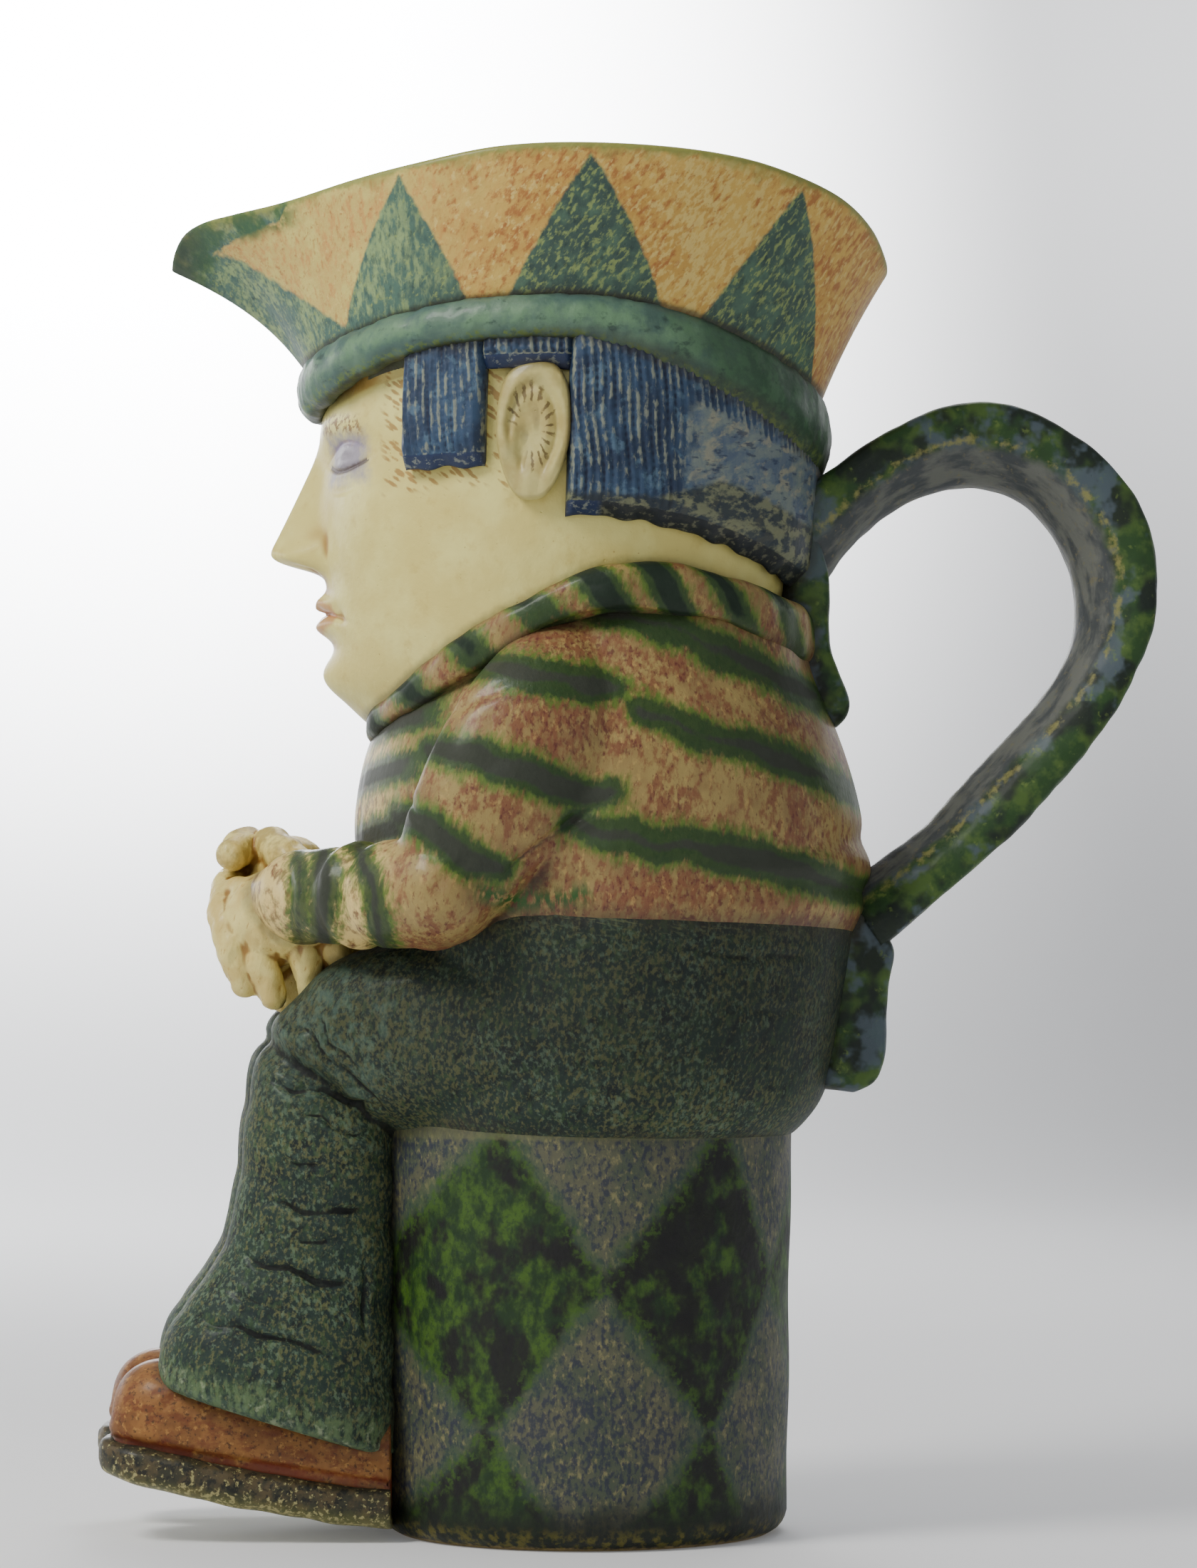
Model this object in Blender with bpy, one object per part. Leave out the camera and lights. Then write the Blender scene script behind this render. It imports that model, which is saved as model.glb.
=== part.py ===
"""A character jug in glazed earthenware: a man in a tall paper-style hat sits on a round stool.

The hat is the jug's mouth, with a beak at its front to pour from. The figure and the stool are
one hollow vessel, and a strap handle springs from the back of the head to the small of the back.
The figure faces -Y and its left hand is at +X. The origin is under the stool, at floor level.
"""

import math

import bpy
import numpy as np

MM = 0.001

# Driving sizes of the vessel, in metres.
STOOL_HEIGHT = 81 * MM
STOOL_RADIUS = 41 * MM
STOOL_FLARE = 1.2 * MM  # how much wider the stool is at its top
FIGURE_HEIGHT = 190 * MM  # from the seat to the highest point of the hat's rim
WALL = 5 * MM
HAT_WALL = 4.2 * MM
FLOOR_THICKNESS = 6.5 * MM
SEAT_OVERHANG = 8 * MM  # how far the trousers' seat stands out over the stool

# Driving sizes of what is built on to the vessel.
HANDLE_WIDTH = 23 * MM
HANDLE_KEEL = 12 * MM  # the strap's width at its inner edge
LEG_WIDTH = 26 * MM
LEG_GAP = 1.0 * MM
FAR_LEG_LEAD = 3 * MM  # the right leg was set a little further forward than the left
SOLE_THICKNESS = 9 * MM
TOE_SPRING = 12.5 * MM  # how far the toe is off the floor
HEEL_LIFT = 2.2 * MM
HAND_SIZE = 36 * MM
FINGER_RADIUS = 3.3 * MM
EAR_HEIGHT = 26 * MM
HAIR_THICKNESS = 5 * MM
CUT_ROOM = 3 * MM  # how far a cutter runs past the clay that it cuts

GRAIN = FIGURE_HEIGHT / 237  # the smallest dent that is kept
SHARE_KEPT = 0.0120  # of the faces that the press leaves

# The figure's tables are in parts of its own height.
PART = FIGURE_HEIGHT / 190
FRONT = -math.pi / 2


def parts(*values):
    """Table values as arrays of metres."""
    return [np.array(column, float) * PART for column in values]


def through(knots, values, at):
    """A smooth curve through values at knots, read at other places: cubic spans with mean slopes."""
    knots = np.asarray(knots, float)
    values = np.asarray(values, float)
    rise = np.diff(values, axis=0) / np.diff(knots).reshape(-1, *[1] * (values.ndim - 1))
    slope = np.concatenate([rise[:1], (rise[1:] + rise[:-1]) / 2, rise[-1:]])
    at = np.clip(np.asarray(at, float), knots[0], knots[-1])
    i = np.clip(np.searchsorted(knots, at, side="right") - 1, 0, len(knots) - 2)
    step = np.diff(knots)[i]
    t = (at - knots[i]) / step
    if values.ndim > 1:
        step = step[..., None]
        t = t[..., None]
    return (
        values[i] * (1 + 2 * t) * (1 - t) ** 2
        + values[i + 1] * t * t * (3 - 2 * t)
        + slope[i] * step * t * (1 - t) ** 2
        - slope[i + 1] * step * t * t * (1 - t)
    )


def turn(count):
    """Angles round the vessel: 0 is the figure's left, a quarter turn on is its back."""
    return np.linspace(0, 2 * math.pi, count, endpoint=False)


def bump(distance, width):
    """A smooth hill, 1 at its middle and nearly 0 at twice the width."""
    return np.exp(-((distance / width) ** 2))


def shell(points, faces):
    """The points and triangles of one closed surface, turned so that its faces point out."""
    a, b, c = points[faces].transpose(1, 0, 2)
    if np.einsum("ij,ij->", a, np.cross(b, c)) < 0:
        faces = faces[:, ::-1]
    return points, faces


def clay(rings):
    """A closed surface from rings of points, each end closed by a fan."""
    rings = np.asarray(rings, float)
    count, sides = rings.shape[:2]
    points = np.concatenate([rings.reshape(-1, 3), rings[:1].mean(1), rings[-1:].mean(1)])
    corner = np.arange(count * sides).reshape(count, sides)
    beside = np.roll(corner, -1, axis=1)
    a, b, c, d = (v.ravel() for v in (corner[:-1], beside[:-1], beside[1:], corner[1:]))
    first = np.full(sides, len(points) - 2)
    last = first + 1
    faces = [(a, b, c), (a, c, d), (first, beside[0], corner[0]), (last, corner[-1], beside[-1])]
    return shell(points, np.concatenate([np.stack(f, -1) for f in faces]))


def hoop(rings):
    """A closed ring of closed sections, such as a hat band."""
    count, sides = rings.shape[:2]
    corner = np.arange(count * sides).reshape(count, sides)
    beside = np.roll(corner, -1, axis=1)
    a, b, c, d = (
        v.ravel() for v in (corner, beside, np.roll(beside, -1, axis=0), np.roll(corner, -1, axis=0))
    )
    faces = np.concatenate([np.stack([a, b, c], -1), np.stack([a, c, d], -1)])
    return shell(rings.reshape(-1, 3), faces)


def body_of(name, shells):
    """One object that holds these closed surfaces."""
    points, faces, start = [], [], 0
    for own_points, own_faces in shells:
        points.append(own_points)
        faces.append(own_faces + start)
        start += len(own_points)
    mesh = bpy.data.meshes.new(name)
    mesh.from_pydata(np.concatenate(points).tolist(), [], np.concatenate(faces).tolist())
    mesh.shade_smooth()
    return bpy.data.objects.new(name, mesh)


def level_rings(z, front, back, half_width, sides, square=1.0):
    """Level oval rings at heights z. A square below 1 fills out the oval's corners."""
    a = turn(sides)
    across = np.sign(np.cos(a)) * np.abs(np.cos(a)) ** square
    along = np.sign(np.sin(a)) * np.abs(np.sin(a)) ** square
    z, front, back, half_width = (np.asarray(v, float)[:, None] for v in (z, front, back, half_width))
    middle = (front + back) / 2
    return np.stack(
        [half_width * across, middle + (back - front) / 2 * along, z + 0 * across], -1
    )


def barrel(table, steps, sides, square=1.0):
    """Level rings read from a table of heights, fronts, backs and half widths above the seat."""
    z, front, back, half_width = parts(*zip(*table))
    at = np.linspace(z[0], z[-1], steps)
    columns = [through(z, v, at) for v in (front, back, half_width)]
    return level_rings(STOOL_HEIGHT + at, *columns, sides, square)


def tube(path, radius, steps, sides, flat=1.0):
    """A round-ended tube through the points of a path. flat squeezes it across the path, upwards."""
    path = np.asarray(path, float)
    along = np.concatenate([[0], np.cumsum(np.linalg.norm(np.diff(path, axis=0), axis=1))])
    radius = np.broadcast_to(np.asarray(radius, float), along.shape)
    start, end = radius[0], radius[-1]
    swell = np.array([0.25, 0.65, 0.9, 1.0])
    lead = np.sqrt(1 - swell**2) * start
    at = np.linspace(0, along[-1], steps)
    middle = through(along, path, at)
    size = through(along, radius, at)
    heading = np.gradient(middle, axis=0)
    heading /= np.linalg.norm(heading, axis=1, keepdims=True)
    first = middle[0] - heading[0] * lead[:3, None]
    after = middle[-1] + heading[-1] * (np.sqrt(1 - swell[2::-1] ** 2) * end)[:, None]
    middle = np.concatenate([first, middle, after])
    heading = np.concatenate([np.repeat(heading[:1], 3, 0), heading, np.repeat(heading[-1:], 3, 0)])
    size = np.concatenate([start * swell[:3], size, end * swell[2::-1]])
    up = np.array([0.0, 0.0, 1.0])
    side = np.cross(heading, up)
    weak = np.linalg.norm(side, axis=1) < 0.2
    side[weak] = np.cross(heading[weak], [0.0, 1.0, 0.0])
    for i in range(1, len(side)):
        side[i] = side[i - 1] - heading[i] * (side[i - 1] @ heading[i])
        side[i] /= np.linalg.norm(side[i])
    side[0] /= np.linalg.norm(side[0])
    rise = np.cross(side, heading)
    a = turn(sides)[None, :, None]
    return middle[:, None] + size[:, None, None] * (
        np.cos(a) * side[:, None] + flat * np.sin(a) * rise[:, None]
    )


def limb(rows, sides, steps, side=1, square=1.0, folds=None):
    """Oval rings hung between two outlines in the YZ plane.

    Each row is (outer y, outer z, inner y, inner z, half width, centre x). folds is a function of
    the share along the limb and the share across it, from the outer outline 0 to the inner 1. It
    says how far the cloth stands out.
    """
    rows = np.array(rows, float)
    knots = np.arange(len(rows))
    share = np.linspace(0, 1, steps)
    out_y, out_z, in_y, in_z, wide, x = through(knots, rows, share * knots[-1]).T[:, :, None]
    a = turn(sides)
    across = np.sign(np.cos(a)) * np.abs(np.cos(a)) ** square
    along = np.sign(np.sin(a)) * np.abs(np.sin(a)) ** square
    proud = np.zeros((steps, sides))
    if folds is not None:
        proud = folds(share[:, None], (1 - along) / 2)
    reach = np.hypot(out_y - in_y, out_z - in_z) / 2
    grow = 1 + proud / reach
    y = (out_y + in_y) / 2 + (out_y - in_y) / 2 * along * grow
    z = (out_z + in_z) / 2 + (out_z - in_z) / 2 * along * grow
    return np.stack([side * (x + (wide + proud) * across), y, z], -1)


# The stool


def stool():
    """A drum with a softened foot. It runs below the floor, where the last cut trims it flat."""
    z = np.array([-1.0, 0, 1.5, 4.5, 0]) * MM
    radius = STOOL_RADIUS - np.array([5.0, 3.4, 1.4, 0, 0]) * MM
    z[-1] = STOOL_HEIGHT + 4 * MM
    radius[-1] += STOOL_FLARE
    return clay(level_rings(z, -radius, radius, radius, 64))


# The trousers


def seat():
    """The hips, which overhang the stool and end at the waistband."""
    rim = (STOOL_RADIUS + STOOL_FLARE) / PART
    wide = rim + SEAT_OVERHANG / PART
    table = [
        (-1.8, -rim + 2, rim - 0.5, rim - 1),
        (0.5, -rim + 1, rim + 2.0, rim + 1),
        (5, -rim, rim + 5.5, rim + 3.5),
        (12, -rim, wide, wide - 3),
        (22, -rim, wide + 2, wide - 0.5),
        (34, -rim - 0.5, wide + 4, wide),
        (42, -rim - 1, wide + 5, wide),
        (45, -rim, wide + 4, wide - 1),
    ]
    return clay(barrel(table, 14, 48))


def leg(side):
    """The thigh, then the flared trouser leg that is folded under it at the knee."""
    lead = -FAR_LEG_LEAD if side < 0 else 0.0
    seat_z = STOOL_HEIGHT / PART
    ahead = -(STOOL_RADIUS + LEG_GAP / 2) / PART
    inside = LEG_GAP / 2 / PART
    width = LEG_WIDTH / PART
    thigh = [
        (20, 40, 20, 2, 22, 21),
        (-8, 40.5, -6, 0, 23.5, 23.6),
        (-24, 40, -18, -1, 21.8, 21.8),
        (-38, 37.5, -28, -1, 19, 19),
        (-50, 33, -35, -0.5, 16.4, 16.8),
        (-57.2, 26, -38, 0, 14.5, 15),
        (-61.6, 20, -39, 1.5, 12, 14),
        (-60.5, 15, -41, 4, 8, 14),
    ]
    thigh = [(oy, oz + seat_z, iy, iz + seat_z, w, x) for oy, oz, iy, iz, w, x in thigh]
    # The trouser leg keeps its place before the stool, at shares of the stool's height.
    shin = [
        (1.26, -14, 0.24, 0.36),
        (1.19, -23.0, 0.19, 0.46),
        (1.08, -25.2, 0.13, 0.51),
        (0.98, -26.2, 0.08, 0.51),
        (0.87, -27.2, 0.08, 0.50),
        (0.76, -29.0, 0.09, 0.51),
        (0.66, -32.5, 0.11, 0.54),
        (0.57, -38.0, 0.13, 0.58),
        (0.50, -41.3, 0.15, 0.61),
        (0.43, -43.0, 0.16, 0.62),
        (0.38, -42.5, 0.16, 0.61),
        (0.365, -38.0, 0.165, 0.55),
    ]
    leg_rows = []
    for share, front, drop, half in shin:
        outer, inner = share * seat_z, (share - drop) * seat_z
        leg_rows.append((ahead + front, outer, ahead + 4, inner, half * width, inside + half * width))

    def folds(share, across):
        """Soft rolls of cloth round the leg that lean down towards the back, with a crease between."""
        t = share - 0.05 * across
        out = 0
        for at, depth in ((0.20, 1.5), (0.34, 1.1), (0.49, 1.2), (0.65, 1.3), (0.82, 1.2)):
            out = out - depth * bump(t - at, 0.022) + 0.5 * depth * bump(t - at - 0.06, 0.04)
        return out * (0.55 + 0.45 * across)

    def knee(share, across):
        """Two creases that fan back from the inside of the bent knee."""
        return 1.0 * bump(share - 0.86, 0.10) - 1.3 * across * bump(share - 0.70, 0.035)

    move = np.array([0, lead, 0])
    thigh_rings = limb(thigh, 26, 26, side, 0.88, knee) * PART + move
    leg_rings = limb(leg_rows, 24, 44, side, 0.85, folds) * PART + move
    return [clay(thigh_rings), clay(leg_rings)]


def shoe(side):
    """A stubby shoe whose toe is off the floor: an upper on a thick sole."""
    lead = -FAR_LEG_LEAD if side < 0 else 0.0
    heel = -(STOOL_RADIUS - 3 * MM)
    length = 58.5 * PART
    centre = LEG_WIDTH / 2 + LEG_GAP / 2 + 0.4 * MM
    share = np.array([0, 0.12, 0.35, 0.6, 0.8, 0.91, 0.975, 1.0])
    width = np.array([0.9, 0.98, 1.02, 1.06, 1.02, 0.86, 0.6, 0.25]) * LEG_WIDTH / 2
    under = HEEL_LIFT + (TOE_SPRING - HEEL_LIFT) * share**1.3
    y = heel - share * length + lead * share
    thick = SOLE_THICKNESS * np.array([1, 1, 1, 1, 0.97, 0.9, 0.75, 0.4])
    low = under + 0.5 * (SOLE_THICKNESS - thick)
    top = low + thick + np.array([14, 14, 15, 16.5, 16.5, 14, 9.5, 2.5]) * PART
    back = y + 2 * MM * share
    x = centre + 0 * y
    sole = limb(np.stack([y, low + thick, y, low, width, x], -1), 18, 18, side, 0.55)
    upper = limb(np.stack([back, top, back, low + 0.4 * thick, width * 0.93, x], -1), 20, 18, side, 0.85)
    return [clay(sole), clay(upper)]


# The sweater

TORSO = [
    (36, -41, 53, 46),
    (40, -42.5, 55.5, 49.5),
    (44, -43.5, 57.2, 51),
    (52, -45.5, 57.6, 51.2),
    (60, -46.5, 56.8, 51.5),
    (68, -45.8, 55.2, 51),
    (76, -44, 52.8, 49.8),
    (84, -40.5, 49.8, 47.5),
    (92, -35.5, 46.8, 44.5),
    (100, -28, 43.5, 40),
    (106, -15, 38, 32),
]


def torso():
    """The body of the sweater, with its hem turned in over the waistband and folds at the back."""
    rings = barrel(TORSO, 40, 60)
    middle = rings.mean(1, keepdims=True)
    out = rings - middle
    reach = np.linalg.norm(out, axis=-1, keepdims=True)
    a = turn(60)[None, :, None]
    z = (rings[..., 2:] - STOOL_HEIGHT) / PART
    back = np.clip(np.sin(a), 0, 1)
    proud = -1.1 * bump(z - 47 - 2 * np.cos(a), 1.6) * (0.4 + 0.6 * back)
    proud = proud - 1.0 * back * bump(z - 58 + 5 * np.cos(a) ** 2, 2.2)
    proud = proud + 0.7 * bump(z - 52 - 2 * np.cos(a), 3.0)
    flat = np.array([1.0, 1.0, 0.0])
    return clay(rings + out / reach * proud * PART * flat)


def arm(side):
    """Upper sleeve and forearm sleeve, puckered where the elbow bends, with a turned cuff."""

    def place(*rows):
        return np.array([(side * x * PART, y * PART, STOOL_HEIGHT + z * PART) for x, y, z in rows])

    upper = place(
        (32, -3, 97), (39, -5, 88), (44.5, -9, 78), (46.5, -14, 69),
        (47, -19.5, 59), (46, -25, 50), (44, -29, 44),
    )
    size = np.array([8, 13, 15.8, 16.0, 14.8, 12.2, 9.0]) * PART
    upper_rings = tube(upper, size, 22, 20)
    middle = upper_rings.mean(1, keepdims=True)
    upper_rings = middle + (upper_rings - middle) * np.array([0.60, 1.0, 1.0])
    forearm = place((45, -27, 47), (38, -37.5, 46.3), (28.5, -48, 46.2), (19, -56, 46.0), (13, -60, 45.0))
    forearm_rings = tube(forearm, np.array([11.0, 10.6, 9.7, 8.8, 8.0]) * PART, 26, 20)
    middle = forearm_rings.mean(1, keepdims=True)
    ring = np.arange(len(forearm_rings))[:, None, None] / (len(forearm_rings) - 1)
    swell = 1 - 0.10 * bump(ring - 0.36, 0.035) - 0.08 * bump(ring - 0.52, 0.03)
    swell = swell + 0.07 * bump(ring - 0.44, 0.05) + 0.09 * bump(ring - 0.84, 0.06)
    forearm_rings = middle + (forearm_rings - middle) * swell
    return [clay(upper_rings), clay(forearm_rings)]


def collar():
    """The rolled neck of the sweater: low under the chin, tall and high at the nape."""
    a = turn(48)
    back = (1 + np.sin(a)) / 2
    level = through([0, 0.1, 0.25, 0.5, 0.75, 1], [80.5, 86.5, 94.5, 105.0, 104.8, 98], back)
    high = PART * through([0, 0.25, 0.5, 0.75, 1], [3.6, 4.8, 4.5, 5.3, 6.0], back)
    x = 41.5 * PART * np.cos(a)
    y = PART * (1.8 + 41.7 * np.sin(a))
    middle = np.stack([x, y, STOOL_HEIGHT + PART * level], -1)
    out = np.stack([np.cos(a), np.sin(a), 0 * a], -1)
    b = turn(12)[:, None, None]
    # This ring is closed both ways, so it is skinned as a ring of rings.
    rings = middle + 4.4 * PART * np.cos(b) * out + high[:, None] * np.sin(b) * [0, 0, 1]
    return hoop(rings.transpose(1, 0, 2))


# The hands


def hands():
    """The clasped hands: each hand's fingers are laced and come down over the other's back."""
    unit = HAND_SIZE / 36
    centre = np.array([0, -60.4 * PART, STOOL_HEIGHT + 40 * PART])
    core = np.array([(0, 1, 11.0), (0, 0.5, 5.0), (0, 0, -2.0), (0, 1.5, -9.0)]) * unit
    made = [clay(tube(centre + core, np.array([8.0, 11.0, 11.5, 8.5]) * unit, 10, 18))]
    for side in (1, -1):

        def place(*rows):
            return centre + np.array([(side * x, y, z) for x, y, z in rows]) * unit

        heel = place((19, 8, 5), (14, 3, 3.5), (9, -3, 1), (5, -5, -3))
        made.append(clay(tube(heel, np.array([7.5, 9.0, 10.0, 9.0]) * unit, 10, 14)))
        # The far hand's fingers lie one place further back, as laced fingers do.
        shift = 0 if side > 0 else 2.4
        slope = 1.6 if side > 0 else -1.6
        index = place(
            (-12, -5.5, 8.5 + slope),
            (-6, -9.5, 8.5 + slope),
            (2, -11.8, 6.5 + slope),
            (9.5, -11.6, 3),
            (13.8, -9.8, -4),
            (13.2, -7.4, -11),
        )
        middle = place(
            (-8, -8.5, 0.5 + slope),
            (-1, -11.2, 0.5 + slope),
            (6.5, -11.0, -1),
            (12.0, -7.6, -3.5),
            (14.6, -3.6, -8),
            (13.8, -1.6, -13.5),
        )
        for finger in (index, middle):
            made.append(clay(tube(finger, FINGER_RADIUS * np.array([1, 1.05, 1, 1.05, 1, 0.9]), 16, 10)))
        for i, (y, tip, thick) in enumerate(((1.8, -12.5, 1.0), (8.0, -8.5, 0.85))):
            root = y + shift
            finger = place(
                (-2, root + 1.5, 8.3 - 1.2 * i),
                (5, root, 9.3 - 1.2 * i),
                (11.5, root + 0.4, 5.3 - 1.2 * i),
                (15.4, root + 2.4, -2.8 - 0.5 * i),
                (14.2, root + 4.6, tip),
            )
            radius = FINGER_RADIUS * thick * np.array([0.95, 1.08, 1.0, 1.02, 0.92])
            made.append(clay(tube(finger, radius, 12, 10)))
        lay = 2.6 * side
        thumb = place((13, 2 + lay, 11), (7, -3 + lay, 15.2), (0, -6 + lay, 16.6), (-6, -8 + lay, 14.8))
        made.append(clay(tube(thumb, FINGER_RADIUS * np.array([1.2, 1.15, 1.2, 1.0]), 10, 10)))
    return made


# The head

HEAD = [
    (77, -36, 5, 17),
    (81, -43, 19, 27),
    (87, -48, 30, 34),
    (94, -50.5, 36.5, 38.5),
    (106, -52, 40.5, 42),
    (120, -52.8, 42.5, 44.2),
    (135, -53, 43.5, 45.2),
    (150, -52.5, 44, 45.5),
    (162, -51, 43, 45),
]

# The face, by the draughtsman's thirds: brow to nose and nose to chin are one step each.
CHIN = 85.5
STEP = 27.2
NOSE_BASE = CHIN + STEP
BROW = NOSE_BASE + STEP
EYE_LINE = BROW - 0.22 * STEP
EYE_APART = 17.5
MOUTH = NOSE_BASE - STEP / 3


def relief(x, z):
    """How far the face stands out from the plain head, in parts, at a place across and up."""
    wide = np.abs(x)
    down = np.clip((BROW - 1 - z) / (STEP - 3), 0, 1.2)
    ridge = (1.2 + 11 * down**1.25) * bump(x, 4.0 + 2.0 * down)
    under = 1 / (1 + np.exp(-(z - NOSE_BASE - 0.2) / 0.75))
    over = 1 / (1 + np.exp((z - BROW) / 2.6))
    out = ridge * under * over
    out = out + 3.6 * bump(wide - 6.2, 3.0) * bump(z - NOSE_BASE - 2.6, 3.0)
    out = out + 1.6 * bump(z - BROW - 0.5, 4.2) * bump(wide - 17, 12)
    out = out - 3.2 * bump(wide - EYE_APART + 1, 8) * bump(z - EYE_LINE - 0.5, 4.6)
    lid = bump(wide - EYE_APART, 5.6)
    out = out + 2.9 * lid * bump(z - EYE_LINE + 0.6, 3.1)
    out = out - 1.1 * lid * bump(z - EYE_LINE + 2.3 + 0.012 * (wide - EYE_APART) ** 2, 0.55)
    out = out + 1.8 * bump(wide - 26, 10) * bump(z - NOSE_BASE - 6, 9)
    lips = bump(wide, 11.0) ** 1.4
    out = out + 2.6 * lips * bump(z - MOUTH - 1.9, 1.9)
    out = out + 2.9 * lips * bump(z - MOUTH + 2.5, 2.3)
    out = out - 1.6 * bump(wide, 13) * bump(z - MOUTH, 0.9)
    out = out - 0.9 * bump(wide, 9) * bump(z - MOUTH + 7.2, 2.6)
    return out + 3.2 * bump(wide, 9.5) * bump(z - CHIN - 5.2, 4.8)


def head():
    """The egg of the head with the face raised on its front."""
    z, front, back, half_width = parts(*zip(*HEAD))
    fine = np.concatenate([np.linspace(HEAD[0][0], 141, 56), np.linspace(144, HEAD[-1][0], 7)]) * PART
    # The rings have most of their points on the face.
    spread = [-math.pi, -0.55, 0, 0.55, math.pi]
    a = FRONT + through([-1, -0.3, 0, 0.3, 1], spread, np.linspace(-1, 1, 73)[:-1])
    columns = [through(z, v, fine)[:, None] for v in (front, back, half_width)]
    front, back, half_width = columns
    jaw = through([78, 92, 112, 140], [0.34, 0.24, 0.15, 0.10], fine / PART)[:, None]
    narrow = 1 - jaw * np.clip(-np.sin(a), 0, 1) ** 2
    x = half_width * np.cos(a) * narrow
    y = (front + back) / 2 + (back - front) / 2 * np.sin(a)
    facing = np.clip(-np.sin(a), 0, 1) ** 1.5
    out = relief(x / PART, fine[:, None] / PART) * facing * PART
    y = y - out * np.where(facing > 0, 1, 0)
    return clay(np.stack([x, y, STOOL_HEIGHT + fine[:, None] + 0 * x], -1))


def on_head(angle, z, proud):
    """A point on the plain head at an angle and height, proud of it by a distance; z in parts."""
    table = np.array(HEAD, float)
    front, back, wide = (through(table[:, 0], table[:, i], z) * PART for i in (1, 2, 3))
    x = (wide + proud) * np.cos(angle)
    y = (front + back) / 2 + ((back - front) / 2 + proud) * np.sin(angle)
    return np.stack([x, y, STOOL_HEIGHT + np.asarray(z) * PART + 0 * x], -1)


def slab(low, high, angles, thick, steps=7):
    """A thick patch on the head between two outlines, with a bevelled lower edge, such as hair."""
    share = np.linspace(0, 1, steps)[:, None]
    z = low + (high - low) * share
    a = angles + 0 * z
    outer = on_head(a, z, thick)
    under = on_head(a[:1], z[:1] - 2.6, thick * 0.35)
    inner = on_head(a, z, -2.5 * PART)[::-1]
    section = np.concatenate([under, outer, inner])
    return clay(section.transpose(1, 0, 2))


def hair():
    """Cropped hair: a thick fall from ear to ear round the back, and a sideburn before each ear."""
    around = np.linspace(math.radians(2), math.radians(178), 41)
    behind = np.sin(around)
    low = 119.5 - 10 * np.clip(behind, 0, 1) ** 2.2
    high = 160 - 14 * np.clip(behind, 0, 1)
    made = [slab(low, high, around, HAIR_THICKNESS)]
    for side in (1, -1):
        angle = np.linspace(math.radians(-38), math.radians(-17), 8)
        if side < 0:
            angle = math.pi - angle[::-1]
        low = np.full(8, 129.5)
        made.append(slab(low, low + 24, angle, HAIR_THICKNESS * 0.7))
        over_ear = np.linspace(math.radians(-18), math.radians(3), 8)
        if side < 0:
            over_ear = math.pi - over_ear[::-1]
        high = np.full(8, 150.0)
        made.append(slab(high, high + 7, over_ear, HAIR_THICKNESS * 0.8))
    return made


def ear(side):
    """An ear: a shallow dish, its rolled rim, the inner fold that follows the rim, and the lobe."""
    tall = EAR_HEIGHT / 2
    wide = 0.28 * EAR_HEIGHT
    y0, z0 = -9.8 * PART, STOOL_HEIGHT + 136.2 * PART

    def place(angles, size, proud):
        """Points round the ear, at a size and a height off the head; 0 is the back, 90 the top."""
        a = np.radians(np.asarray(angles, float))
        size = np.asarray(size, float)
        lean = 0.10 * wide * np.sin(a)
        y = y0 + wide * size * np.cos(a) * (1 - 0.20 * np.clip(-np.sin(a), 0, 1) ** 2) + lean
        z = z0 + tall * size * np.sin(a)
        x = 43.6 * PART + np.asarray(proud, float) * PART + 1.6 * PART * np.cos(a)
        return np.stack([side * (x + 0 * y), y, z], -1)

    a = np.linspace(0, 360, 25)[:-1]
    size = [(0.78, -3.5), (0.90, 1.5), (0.94, 3.8), (0.80, 4.4), (0.45, 3.4), (0.15, 3.0)]
    dish = np.stack([place(a, share, proud) for share, proud in size])
    proud = [1.5, 3.8, 5.0, 5.6, 5.8, 5.8, 5.4, 4.8, 4.0]
    rim = place([215, 175, 140, 105, 75, 40, 10, -25, -60], 0.90, proud)
    rim = rim + (place([200], 0.35, 4.0) - place([215], 0.90, 1.5)) * np.linspace(1, 0, 9)[:, None] ** 3
    fold = place([125, 85, 45, 10, -30, -75], [0.50, 0.55, 0.56, 0.52, 0.50, 0.52], 4.9)
    lobe = place([-60, -95, -130], [0.80, 0.78, 0.80], [4.4, 4.6, 3.2])
    flap = place([185, 205, 225], 0.72, [3.6, 5.0, 3.6])
    return [
        clay(dish),
        clay(tube(rim, 1.75 * PART, 24, 10)),
        clay(tube(fold, np.array([1.0, 1.3, 1.4, 1.4, 1.3, 1.1]) * PART, 16, 8)),
        clay(tube(lobe, 2.9 * PART, 8, 12)),
        clay(tube(flap, 1.9 * PART, 6, 10)),
    ]


# The hat


def band_edges(a):
    """Heights above the seat of the hat band's upper and lower edges, in parts, at an angle."""
    back = np.clip(np.sin(a), 0, 1)
    front = np.clip(-np.sin(a), 0, 1)
    top = 162.3 - 14.7 * back**2 - 7.8 * front**2.5
    bottom = 153.6 - 22.6 * back**1.5 - 10.6 * front**3
    return top, bottom


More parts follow.
